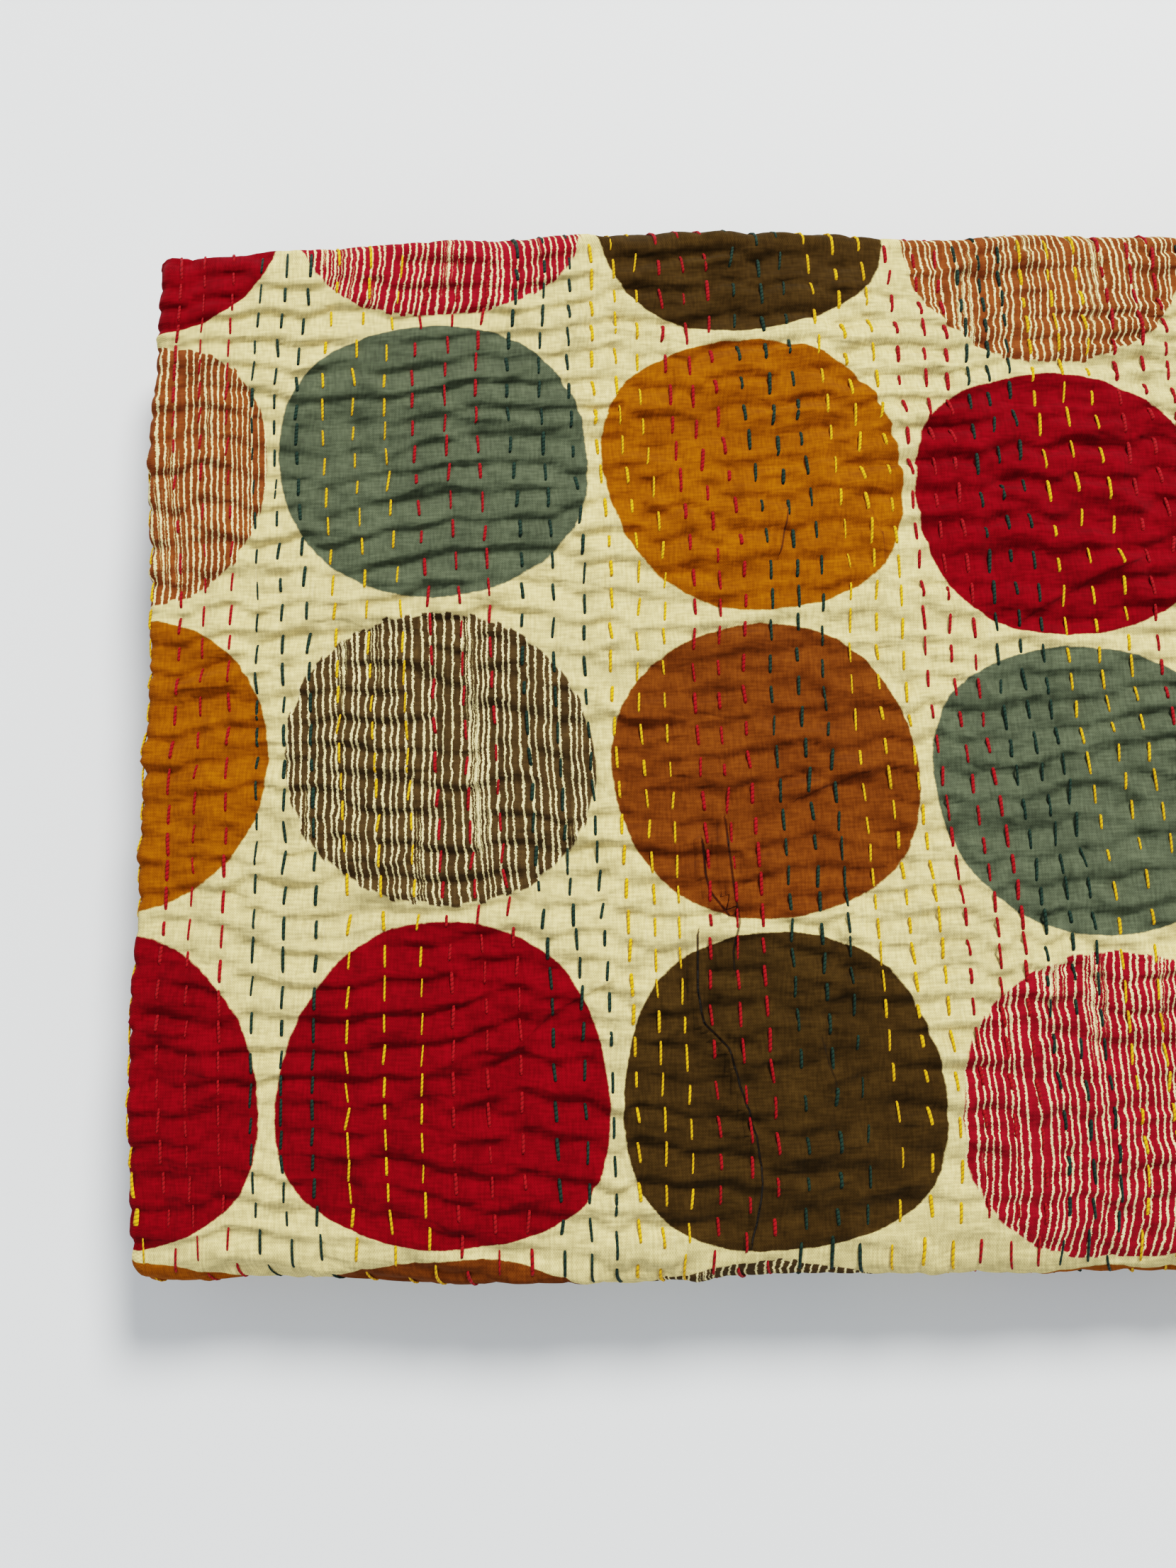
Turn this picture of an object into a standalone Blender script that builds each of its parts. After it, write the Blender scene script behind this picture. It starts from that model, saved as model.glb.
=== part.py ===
"""Kantha quilt, folded in three across and in six along, lying as one flat pile.

The quilt is one piece of stitched layered cloth, so it is one closed solid: a slab of
the cloth's thickness, laid out flat, folded back and forth, then settled as it lies.
Units are metres, +Z is up, and the origin is the middle of the pile's footprint.
X runs across the cloth, with the folded edge at -X, and -Y is the rolled front fold.
"""

import math
from typing import NamedTuple

import bmesh
import bpy
from mathutils import Vector, noise

NAME = "quilt"
COLLECTION = "kantha_quilt"

# Driving dimensions
PILE_WIDTH = 0.508
PILE_DEPTH = 0.381
CLOTH_THICKNESS = 0.0024
LAYER_PITCH = 0.0030
LAYERS_ACROSS = 3
STITCH_PITCH = 0.0105
PUCKER_PITCH = 0.0120
PUCKER_HEIGHT = 0.0017

# Steps of the mesh
STEPS_PER_THIRD = 4
STEPS_PER_RUN = 3
STEPS_PER_EDGE_TURN = 4
STEPS_PER_RUN_TURN = 5
FRONT_TURN_CUTS = 1

# How many steps from the patch's edge the puckers and their wander take to reach full size
PUCKER_FADE_STEPS = 2
WANDER_FADE_STEPS = 6

# Look of the ground cloth
CREAM = (0.76, 0.70, 0.54, 1.0)
CLOTH_ROUGHNESS = 0.92

HALF_CLOTH = CLOTH_THICKNESS / 2
STRIP_PITCH = LAYERS_ACROSS * LAYER_PITCH
HALF_STRIP = LAYER_PITCH + HALF_CLOTH


class Run(NamedTuple):
    """One straight run of a folded strip, which a half round turn joins to the next."""

    name: str
    level: int
    side: int
    inset: float


# Across the cloth: level counts layers, side is -1 at the folded edge and 1 at the hem,
# and inset is how far the run's end stays inside the pile's outline
ACROSS_START = Run("bottom hem", 0, -1, 0.0040)
ACROSS = (
    Run("bottom third", 0, 1, 0.0000),
    Run("middle third", 1, -1, 0.0000),
    Run("top third", 2, 1, 0.0035),
)

# Along the cloth: level counts strips of three layers, and side is -1 at the front
ALONG_START = Run("first hem", 0, -1, 0.0060)
ALONG = (
    Run("lowest run", 0, 1, 0.0030),
    Run("second run", 1, -1, 0.0050),
    Run("third run", 2, 1, 0.0010),
    Run("fourth run", 3, -1, 0.0000),
    Run("top run", 5, 1, 0.0000),
    Run("tucked run", 4, -1, 0.0155),
)
TOP_RUN = 4
TOP_THIRD = 2


class Pull(NamedTuple):
    """A soft local shift of the pile: its place, its reach and how far it moves cloth."""

    name: str
    x: float
    y: float
    reach: float
    shift_x: float
    shift_y: float
    lift: float


PULLS = (
    Pull("back left corner drawn in", -0.254, 0.190, 0.130, 0.0000, -0.0080, 0.015),
    Pull("back right drawn in", 0.190, 0.190, 0.130, 0.0000, -0.0075, 0.000),
    Pull("front left corner blunted", -0.256, -0.192, 0.030, 0.0080, 0.0030, 0.000),
    Pull("left edge pressed lower", -0.254, -0.060, 0.130, 0.0015, 0.0000, -0.025),
    Pull("crown of the pile", -0.020, 0.030, 0.200, 0.0000, 0.0000, 0.040),
    Pull("low front right", 0.230, -0.170, 0.130, -0.0040, 0.0020, -0.022),
)


class Drift(NamedTuple):
    """How the stacked layers stray from one plumb line, as a wave up the pile."""

    name: str
    size: float
    waves_up: float
    waves_along: float
    phase: float


SIDE_DRIFTS = (
    Drift("slow lean of the layers", 0.0016, 0.8, 0.5, 0.6),
    Drift("uneven side folds", 0.0011, 2.2, 1.3, 2.1),
)
FRONT_DRIFTS = (
    Drift("slow lean of the runs", 0.0014, 0.6, 0.7, 1.9),
    Drift("uneven front folds", 0.0009, 1.9, 1.6, 0.3),
)


class Crease(NamedTuple):
    """A long soft tuck on the top, from one end to the other, raised by its height."""

    name: str
    start_x: float
    start_y: float
    end_x: float
    end_y: float
    bow: float
    half_width: float
    height: float


CREASES = (
    Crease("tuck, upper part", -0.0115, -0.0020, -0.0145, -0.0520, -0.002, 0.0070, 0.0022),
    Crease("tuck, lower part", -0.0145, -0.0520, 0.0060, -0.1210, 0.005, 0.0070, 0.0020),
    Crease("short second tuck", -0.0030, -0.0010, 0.0010, -0.0240, 0.000, 0.0060, 0.0014),
    Crease("upright crease", -0.0480, -0.0880, -0.0370, -0.1400, 0.002, 0.0080, 0.0015),
    Crease("slanting fold", 0.0620, 0.0340, 0.1050, 0.0560, 0.004, 0.0090, 0.0015),
    Crease("faint slanting fold", -0.1170, -0.0840, -0.0760, -0.0580, 0.003, 0.0100, 0.0011),
)


class Grain(NamedTuple):
    """How quickly a smooth random value changes from column to column and row to row."""

    per_column: float
    per_row: float
    layer: float

    def value(self, column: int, row: int) -> float:
        """Gives the value at a crossing of a stitched row and a pucker, about -1 to 1."""
        return noise.noise(Vector((self.per_column * column, self.per_row * row, self.layer)))


# How the puckers stray, where a ridge breaks off against a valley, and how full they are
WANDER = Grain(0.13, 0.09, 0.0)
WANDER_SIZE = 0.9
BREAKS = Grain(0.21, 0.11, 7.5)
BREAK_LEVEL = 0.06
FULLNESS = Grain(0.28, 0.50, 3.5)
FULLNESS_SIZE = 0.5
MEAN_FULLNESS = 0.75


def half_turn(runs: tuple[Run, ...], index: int) -> float:
    """Gives the radius of the turn after a run, in levels."""
    return abs(runs[index + 1].level - runs[index].level) / 2


def axis_place(run: Run, radius: float, half_span: float, half_stack: float) -> float:
    """Gives where a run ends, so that its turn's outer face keeps the run's inset."""
    return run.side * (half_span - run.inset - radius - half_stack)


class Path:
    """The middle line of a strip folded back and forth, with half round turns."""

    def __init__(self, start: Run, runs: tuple[Run, ...], pitch: float, half_span: float, half_stack: float):
        self.levels = [run.level * pitch for run in runs]
        self.radii = [half_turn(runs, index) * pitch for index in range(len(runs) - 1)]
        self.places = [start.side * (half_span - start.inset)]
        for run, radius in zip(runs, self.radii):
            self.places.append(axis_place(run, radius, half_span, half_stack))
        self.places.append(runs[-1].side * (half_span - runs[-1].inset))
        self.spans = [abs(end - begin) for begin, end in zip(self.places, self.places[1:])]

    def stations(self, run_steps: int, turn_steps: int) -> list[float]:
        """Gives the places along the strip where the mesh has its points."""
        marks = [0.0]
        for index, span in enumerate(self.spans):
            begin = marks[-1]
            marks += [begin + span * step / run_steps for step in range(1, run_steps + 1)]
            if index < len(self.radii):
                arc = math.pi * self.radii[index]
                begin = marks[-1]
                marks += [begin + arc * step / turn_steps for step in range(1, turn_steps + 1)]
        return marks

    def run_limits(self, index: int) -> tuple[float, float]:
        """Gives where a run begins and ends along the strip."""
        begin = sum(self.spans[:index]) + math.pi * sum(self.radii[:index])
        return begin, begin + self.spans[index]

    def place(self, distance: float, offset: float) -> tuple[float, float]:
        """Gives the folded place of a point, as its place along the pile and its height."""
        for index, span in enumerate(self.spans):
            ahead = 1 if self.places[index + 1] > self.places[index] else -1
            last = index == len(self.radii)
            if distance <= span or last:
                return self.places[index] + ahead * distance, self.levels[index] + ahead * offset
            distance -= span
            radius = self.radii[index]
            if distance < math.pi * radius:
                turn = 1 if self.levels[index + 1] > self.levels[index] else -1
                reach = radius - turn * ahead * offset
                angle = distance / radius
                along = self.places[index + 1] + ahead * reach * math.sin(angle)
                height = self.levels[index] + turn * (radius - reach * math.cos(angle))
                return along, height
            distance -= math.pi * radius
        raise ValueError("the distance lies past the strip's end")


ACROSS_PATH = Path(ACROSS_START, ACROSS, LAYER_PITCH, PILE_WIDTH / 2, HALF_CLOTH)
ALONG_PATH = Path(ALONG_START, ALONG, STRIP_PITCH, PILE_DEPTH / 2, HALF_STRIP)
PILE_HEIGHT = STRIP_PITCH * max(run.level for run in ALONG) + 2 * HALF_STRIP


def fold(across: float, along: float, offset: float) -> tuple[float, float, float]:
    """Folds a point of the flat cloth into the even pile, standing on the floor."""
    x, height = ACROSS_PATH.place(across, offset)
    y, z = ALONG_PATH.place(along, height - LAYER_PITCH)
    return x, y, z + HALF_STRIP


def drift(drifts: tuple[Drift, ...], up: float, along: float) -> float:
    """Adds up the waves that set the layers a little out of line."""
    total = 0.0
    for wave in drifts:
        angle = math.tau * (wave.waves_up * up + wave.waves_along * along) + wave.phase
        total += wave.size * math.sin(angle)
    return total


def settle(x: float, y: float, z: float) -> tuple[float, float, float]:
    """Lays an even pile as the real one lies, with its floor side kept flat."""
    up = z / PILE_HEIGHT
    new_x = x + up * drift(SIDE_DRIFTS, up, y / PILE_DEPTH)
    new_y = y + up * drift(FRONT_DRIFTS, up, x / PILE_WIDTH)
    lift = 0.0
    for pull in PULLS:
        distance = math.hypot(x - pull.x, y - pull.y) / pull.reach
        strength = math.exp(-distance * distance)
        new_x += pull.shift_x * strength * (0.5 + 0.5 * up)
        new_y += pull.shift_y * strength * (0.5 + 0.5 * up)
        lift += pull.lift * strength
    return new_x, new_y, z * (1 + lift)


def crease_height(x: float, y: float) -> float:
    """Gives how far the long tucks raise the top at a place."""
    height = 0.0
    for crease in CREASES:
        run_x = crease.end_x - crease.start_x
        run_y = crease.end_y - crease.start_y
        length = math.hypot(run_x, run_y)
        part = ((x - crease.start_x) * run_x + (y - crease.start_y) * run_y) / length ** 2
        aside = ((x - crease.start_x) * run_y - (y - crease.start_y) * run_x) / length
        aside -= crease.bow * math.sin(math.pi * min(max(part, 0.0), 1.0))
        past = max(-part, part - 1, 0.0) * length
        reach = math.hypot(aside, past) / crease.half_width
        height += crease.height * math.exp(-reach * reach)
    return height


def wander(column: int, row: int) -> float:
    """Gives how far a pucker strays along the cloth, in parts of the row's pitch."""
    return WANDER_SIZE * WANDER.value(column, row)


def pucker(column: int, row: int) -> float:
    """Gives how full a pucker is where a row of stitches crosses it, from 0 to 1."""
    flipped = BREAKS.value(column, row) > BREAK_LEVEL
    crest = (row + flipped) % 2
    fullness = MEAN_FULLNESS + FULLNESS_SIZE * FULLNESS.value(column, row)
    return crest * min(fullness, 1.0)


def outer_faces(mesh: bmesh.types.BMesh, along_range: tuple[float, float]) -> list[bmesh.types.BMFace]:
    """Finds the faces of the flat slab that end up outermost on the top."""
    begin, end = ACROSS_PATH.run_limits(TOP_THIRD)
    found = []
    for face in mesh.faces:
        middle = face.calc_center_median()
        on_third = begin < middle.x < end
        on_run = along_range[0] < middle.y < along_range[1]
        if on_third and on_run and middle.z > HALF_CLOTH / 2:
            found.append(face)
    return found


def cut_across(mesh: bmesh.types.BMesh, faces: list[bmesh.types.BMFace], axis: int, cuts: int) -> None:
    """Cuts the edges of some faces that run along one axis of the flat cloth."""
    edges = set()
    for face in faces:
        for edge in face.edges:
            step = edge.verts[1].co - edge.verts[0].co
            if abs(step[axis]) > abs(step[1 - axis]):
                edges.add(edge)
    bmesh.ops.subdivide_edges(mesh, edges=list(edges), cuts=cuts, use_grid_fill=True)


def flat_slab() -> bmesh.types.BMesh:
    """Makes the cloth laid out flat, as a slab with its points where the folds need them."""
    across = ACROSS_PATH.stations(STEPS_PER_THIRD, STEPS_PER_EDGE_TURN)
    along = ALONG_PATH.stations(STEPS_PER_RUN, STEPS_PER_RUN_TURN)
    columns = len(across) - 1
    rows = len(along) - 1
    mesh = bmesh.new()
    bmesh.ops.create_grid(mesh, x_segments=columns, y_segments=rows, size=1.0)
    for vert in mesh.verts:
        vert.co.x = across[round((vert.co.x + 1) / 2 * columns)]
        vert.co.y = along[round((vert.co.y + 1) / 2 * rows)]
        vert.co.z = -HALF_CLOTH
    raised = bmesh.ops.extrude_face_region(mesh, geom=mesh.faces[:], use_keep_orig=True)
    for item in raised["geom"]:
        if isinstance(item, bmesh.types.BMVert):
            item.co.z = HALF_CLOTH
    bmesh.ops.recalc_face_normals(mesh, faces=mesh.faces[:])
    return mesh


def raise_quilting(mesh: bmesh.types.BMesh) -> None:
    """Cuts the visible top finer and raises its rows of puckers and its tucks."""
    third_begin, third_end = ACROSS_PATH.run_limits(TOP_THIRD)
    run_begin, run_end = ALONG_PATH.run_limits(TOP_RUN)
    front_arc = math.pi * ALONG_PATH.radii[TOP_RUN - 1]
    column_cuts = round((third_end - third_begin) / STEPS_PER_THIRD / STITCH_PITCH) - 1
    row_cuts = round((run_end - run_begin) / STEPS_PER_RUN / (PUCKER_PITCH / 2)) - 1
    cut_across(mesh, outer_faces(mesh, (run_begin - front_arc, run_begin)), 1, FRONT_TURN_CUTS)
    cut_across(mesh, outer_faces(mesh, (run_begin, run_end)), 1, row_cuts)
    cut_across(mesh, outer_faces(mesh, (run_begin - front_arc, run_end)), 0, column_cuts)

    column_pitch = (third_end - third_begin) / STEPS_PER_THIRD / (column_cuts + 1)
    row_pitch = (run_end - run_begin) / STEPS_PER_RUN / (row_cuts + 1)
    patch = {vert for face in outer_faces(mesh, (run_begin - front_arc, run_end)) for vert in face.verts}
    for vert in patch:
        column = round((vert.co.x - third_begin) / column_pitch)
        row = round((vert.co.y - run_begin) / row_pitch)
        to_edge = min(vert.co.x - third_begin, third_end - vert.co.x, run_end - vert.co.y,
                      vert.co.y - run_begin + front_arc)
        fade = min(1.0, max(0.0, to_edge / (PUCKER_FADE_STEPS * row_pitch)))
        wander_fade = min(1.0, max(0.0, to_edge / (WANDER_FADE_STEPS * row_pitch)))
        vert.co.z += PUCKER_HEIGHT * pucker(column, row) * fade
        if vert.co.y > run_begin:
            x, y, _ = fold(vert.co.x, vert.co.y, HALF_CLOTH)
            vert.co.z += crease_height(x, y) * fade
            vert.co.y += row_pitch * wander(column, row) * wander_fade


def quilt_material() -> bpy.types.Material:
    """Makes the cream cotton of the quilt's ground."""
    material = bpy.data.materials.new("cream_cotton")
    material.use_nodes = True
    shader = material.node_tree.nodes["Principled BSDF"]
    shader.inputs["Base Color"].default_value = CREAM
    shader.inputs["Roughness"].default_value = CLOTH_ROUGHNESS
    shader.inputs["Metallic"].default_value = 0.0
    return material


def centre_footprint(mesh: bmesh.types.BMesh) -> None:
    """Moves the pile so that the middle of its footprint is the origin."""
    for axis in (0, 1):
        places = [vert.co[axis] for vert in mesh.verts]
        middle = (min(places) + max(places)) / 2
        for vert in mesh.verts:
            vert.co[axis] -= middle


def build_quilt() -> bpy.types.Object:
    """Makes the folded quilt as one closed solid."""
    mesh = flat_slab()
    raise_quilting(mesh)
    for vert in mesh.verts:
        vert.co = settle(*fold(*vert.co))
    centre_footprint(mesh)
    bmesh.ops.recalc_face_normals(mesh, faces=mesh.faces[:])
    data = bpy.data.meshes.new(NAME)
    mesh.to_mesh(data)
    mesh.free()
    data.materials.append(quilt_material())
    data.shade_smooth()
    return bpy.data.objects.new(NAME, data)


def main() -> None:
    """Clears the scene and builds the quilt in a collection of its own."""
    for item in list(bpy.data.objects):
        bpy.data.objects.remove(item, do_unlink=True)
    collection = bpy.data.collections.new(COLLECTION)
    bpy.context.scene.collection.children.link(collection)
    collection.objects.link(build_quilt())


main()
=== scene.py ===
"""A folded kantha quilt: its cloth with puckers and tucks, its printed dots and its running stitches.

Every point of the cloth is known by its place on the cloth laid out flat: ``across`` the cloth and
``along`` it, in metres, and its height over the cloth's middle. One surface folds such places into the
pile, so the print and the stitches run round the folds as on the real cloth.
"""

import logging
import math
from dataclasses import dataclass, field
from enum import Enum

import bmesh
import bpy
import numpy as np
from mathutils import Matrix, Vector


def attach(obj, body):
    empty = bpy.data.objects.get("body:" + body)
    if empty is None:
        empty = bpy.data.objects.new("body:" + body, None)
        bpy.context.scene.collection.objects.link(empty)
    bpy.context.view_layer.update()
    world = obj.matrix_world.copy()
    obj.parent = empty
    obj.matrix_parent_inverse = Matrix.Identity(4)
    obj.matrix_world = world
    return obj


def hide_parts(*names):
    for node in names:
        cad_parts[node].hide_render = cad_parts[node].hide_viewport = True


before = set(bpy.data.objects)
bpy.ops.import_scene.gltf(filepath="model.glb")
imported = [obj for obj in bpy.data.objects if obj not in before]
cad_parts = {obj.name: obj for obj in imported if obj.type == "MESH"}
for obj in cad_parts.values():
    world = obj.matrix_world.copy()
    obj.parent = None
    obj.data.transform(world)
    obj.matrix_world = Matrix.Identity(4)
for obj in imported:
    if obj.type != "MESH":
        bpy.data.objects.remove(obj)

LOG = logging.getLogger("kantha_quilt")
Array = np.ndarray
Socket = bpy.types.NodeSocket
Triple = tuple[float, float, float]

# How far a dot's edge lies from its middle, in cells of the print
DOT_RADIUS = 0.476


# The fold, as in the solid

@dataclass(frozen=True)
class Run:
    """One straight run of a folded strip: its level, the side where it ends and how far inside."""

    name: str
    level: int
    side: int
    inset: float


@dataclass(frozen=True)
class Pull:
    """A soft local shift of the pile: its place, its reach and how far it moves the cloth."""

    name: str
    x: float
    y: float
    reach: float
    shift_x: float
    shift_y: float
    lift: float


@dataclass(frozen=True)
class Drift:
    """How the stacked layers stray from one plumb line, as a wave up the pile."""

    name: str
    size: float
    waves_up: float
    waves_along: float
    phase: float


@dataclass(frozen=True)
class Tuck:
    """A fold pinched into the top: a lip that rises to a sharp edge, right of the way its points run."""

    name: str
    points: tuple[tuple[float, float], ...]
    lip: float
    height: float
    sharp: float


ACROSS_START = Run("bottom hem", 0, -1, 0.0040)
ACROSS = (
    Run("bottom third", 0, 1, 0.0000),
    Run("middle third", 1, -1, 0.0000),
    Run("top third", 2, 1, 0.0035),
)
ALONG_START = Run("first hem", 0, -1, 0.0060)
ALONG = (
    Run("lowest run", 0, 1, 0.0030),
    Run("second run", 1, -1, 0.0050),
    Run("third run", 2, 1, 0.0010),
    Run("fourth run", 3, -1, 0.0000),
    Run("top run", 5, 1, 0.0000),
    Run("tucked run", 4, -1, 0.0155),
)
TOP_RUN = 4
TOP_THIRD = 2

PULLS = (
    Pull("back left corner drawn in", -0.254, 0.190, 0.130, 0.0000, -0.0095, 0.015),
    Pull("back right drawn in", 0.190, 0.190, 0.130, 0.0000, -0.0100, 0.000),
    Pull("front left corner blunted", -0.256, -0.194, 0.022, 0.0040, 0.0010, 0.000),
    Pull("front edge drawn in, left", -0.200, -0.192, 0.035, 0.0000, 0.0022, 0.000),
    Pull("front edge pushed out", -0.155, -0.192, 0.022, 0.0000, -0.0010, 0.000),
    Pull("front edge drawn in, middle", -0.015, -0.192, 0.040, 0.0000, 0.0016, 0.000),
    Pull("front edge drawn in, right", 0.070, -0.192, 0.050, 0.0000, 0.0012, 0.000),
    Pull("back edge dipped", 0.040, 0.192, 0.045, 0.0000, -0.0028, 0.000),
    Pull("left edge dented", -0.258, 0.020, 0.035, 0.0028, 0.0000, 0.000),
    Pull("left edge held in, front", -0.258, -0.165, 0.030, 0.0030, 0.0000, 0.000),
    Pull("left edge held in, back", -0.258, 0.063, 0.022, 0.0018, 0.0000, 0.000),
    Pull("left edge pressed lower", -0.254, -0.060, 0.130, 0.0015, 0.0000, -0.025),
    Pull("crown of the pile", -0.020, 0.030, 0.200, 0.0000, 0.0000, 0.040),
    Pull("low front right", 0.230, -0.170, 0.130, -0.0040, 0.0020, -0.022),
)
SIDE_DRIFTS = (
    Drift("slow lean of the layers", 0.0016, 0.8, 0.5, 0.6),
    Drift("uneven side folds", 0.0011, 2.2, 1.3, 2.1),
)
FRONT_DRIFTS = (
    Drift("slow lean of the runs", 0.0014, 0.6, 0.7, 1.9),
    Drift("uneven front folds", 0.0009, 1.9, 1.6, 0.3),
)
TUCKS = (
    Tuck("long tuck over the dark dot", (
        (-0.0590, -0.0740), (-0.0595, -0.0930), (-0.0575, -0.1040), (-0.0495, -0.1120), (-0.0460, -0.1230),
        (-0.0415, -0.1380), (-0.0388, -0.1510), (-0.0385, -0.1610), (-0.0400, -0.1710), (-0.0420, -0.1770),
    ), 0.0050, 0.0012, 1.0),
    Tuck("tuck over the rust dot", (
        (-0.0560, -0.0430), (-0.0555, -0.0540), (-0.0540, -0.0600), (-0.0480, -0.0680),
    ), 0.0040, 0.0009, 0.9),
    Tuck("tuck beside it", (
        (-0.0480, -0.0350), (-0.0470, -0.0460), (-0.0458, -0.0600), (-0.0443, -0.0700), (-0.0470, -0.0800),
        (-0.0468, -0.0860),
    ), 0.0035, 0.0008, 0.7),
    Tuck("short crease, dark dot", (
        (-0.0176, -0.1110), (-0.0155, -0.1175), (-0.0130, -0.1265),
    ), 0.0040, 0.0008, 0.3),
    Tuck("short crease, mustard dot", (
        (-0.0222, 0.0750), (-0.0232, 0.0680), (-0.0248, 0.0610),
    ), 0.0035, 0.0008, 0.5),
    Tuck("side crease, mustard dot", (
        (0.0080, 0.0750), (0.0115, 0.0660), (0.0128, 0.0570),
    ), 0.0050, 0.0010, 0.2),
    Tuck("slant over the rust dot", (
        (0.0020, -0.0200), (-0.0120, -0.0243), (-0.0215, -0.0285),
    ), 0.0050, 0.0008, 0.2),
    Tuck("slant below the mustard dot", (
        (0.1050, 0.0560), (0.0850, 0.0470), (0.0620, 0.0340),
    ), 0.0060, 0.0010, 0.1),
    Tuck("slant over the red dot", (
        (-0.0900, -0.0900), (-0.1080, -0.0990), (-0.1250, -0.1150),
    ), 0.0060, 0.0009, 0.1),
)


def smooth_step(low: float, high: float, value: Array) -> Array:
    """Rises softly from 0 at low to 1 at high.

    Args:
        low: where the rise begins.
        high: where it ends; it may be below low, for a fall.
        value: the values to read.

    Returns:
        The share of the rise at each value.
    """
    part = np.clip((value - low) / (high - low), 0.0, 1.0)
    return part * part * (3.0 - 2.0 * part)


class SoftNoise:
    """A smooth, seeded field of random values between -1 and 1 on a plane."""

    SIZE = 64

    def __init__(self, seed: int, wide: float = 1.0, long: float = 1.0) -> None:
        """Fills the field's lattice.

        Args:
            seed: the seed of its values.
            wide: the size of its patches along the first axis.
            long: their size along the second axis.
        """
        self.lattice = np.random.default_rng(seed).uniform(-1.0, 1.0, (self.SIZE, self.SIZE))
        self.wide = wide
        self.long = long

    def at(self, x: Array, y: Array) -> Array:
        """Reads the field.

        Args:
            x: places along the first axis.
            y: places along the second axis.

        Returns:
            The values, about -1 to 1.
        """
        x, y = np.broadcast_arrays(np.asarray(x, float) / self.wide, np.asarray(y, float) / self.long)
        column, row = np.floor(x).astype(int), np.floor(y).astype(int)
        part_x, part_y = smooth_step(0, 1, x - column), smooth_step(0, 1, y - row)
        corner = [[self.lattice[(column + i) % self.SIZE, (row + j) % self.SIZE] for j in (0, 1)]
                  for i in (0, 1)]
        near = corner[0][0] * (1 - part_y) + corner[0][1] * part_y
        far = corner[1][0] * (1 - part_y) + corner[1][1] * part_y
        return near * (1 - part_x) + far * part_x


class StripPath:
    """The middle line of a strip folded back and forth, with half round turns."""

    def __init__(self, start: Run, runs: tuple[Run, ...], pitch: float, half_span: float,
                 half_stack: float) -> None:
        """Works out the runs and turns.

        Args:
            start: where the strip begins.
            runs: the straight runs in order.
            pitch: the height of a level.
            half_span: half the pile's size along the strip.
            half_stack: half the strip's own thickness.
        """
        self.levels = [run.level * pitch for run in runs]
        self.radii = [abs(after.level - run.level) / 2 * pitch for run, after in zip(runs, runs[1:])]
        self.places = [start.side * (half_span - start.inset)]
        for run, radius in zip(runs, self.radii):
            self.places.append(run.side * (half_span - run.inset - radius - half_stack))
        self.places.append(runs[-1].side * (half_span - runs[-1].inset))
        self.spans = [abs(end - begin) for begin, end in zip(self.places, self.places[1:])]

    @property
    def length(self) -> float:
        """Gives the strip's whole length."""
        return sum(self.spans) + math.pi * sum(self.radii)

    def run_limits(self, index: int) -> tuple[float, float]:
        """Gives where a run begins and ends along the strip."""
        begin = sum(self.spans[:index]) + math.pi * sum(self.radii[:index])
        return begin, begin + self.spans[index]

    def turn_limits(self, index: int) -> tuple[float, float]:
        """Gives where the turn after a run begins and ends along the strip."""
        begin = self.run_limits(index)[1]
        return begin, begin + math.pi * self.radii[index]

    def ahead(self, index: int) -> int:
        """Gives which way a run goes along the pile, 1 or -1."""
        return 1 if self.places[index + 1] > self.places[index] else -1

    def turn(self, index: int) -> int:
        """Gives which way the turn after a run goes, 1 for up or -1 for down."""
        return 1 if self.levels[index + 1] > self.levels[index] else -1

    def outer_side(self, index: int) -> int:
        """Gives which side of the strip is the outside of the turn after a run."""
        return -self.turn(index) * self.ahead(index)

    def stations(self, run_steps: int, turn_steps: list[int]) -> list[float]:
        """Gives the places along the strip where the mesh has its points."""
        marks = [0.0]
        for index in range(len(self.spans)):
            marks += list(np.linspace(*self.run_limits(index), run_steps + 1)[1:])
            if index < len(self.radii):
                marks += list(np.linspace(*self.turn_limits(index), turn_steps[index] + 1)[1:])
        return marks

    def place(self, distance: Array, offset: Array) -> tuple[Array, Array]:
        """Folds places on the strip.

        Args:
            distance: how far along the strip each point is.
            offset: how far it stands off the strip's middle line.

        Returns:
            The places along the pile and the heights.
        """
        along, height = np.zeros_like(distance), np.zeros_like(distance)
        last = len(self.radii)
        for index, level in enumerate(self.levels):
            begin, end = self.run_limits(index)
            ahead = self.ahead(index)
            here = distance >= begin if index else distance > -1
            if index < last:
                here = here & (distance <= end)
            along = np.where(here, self.places[index] + ahead * (distance - begin), along)
            height = np.where(here, level + ahead * offset, height)
            if index == last:
                break
            radius = self.radii[index]
            turn = self.turn(index)
            here = (distance > end) & (distance < end + math.pi * radius)
            angle = (distance - end) / radius
            reach = radius - turn * ahead * offset
            along = np.where(here, self.places[index + 1] + ahead * reach * np.sin(angle), along)
            height = np.where(here, level + turn * (radius - reach * np.cos(angle)), height)
        return along, height


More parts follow.
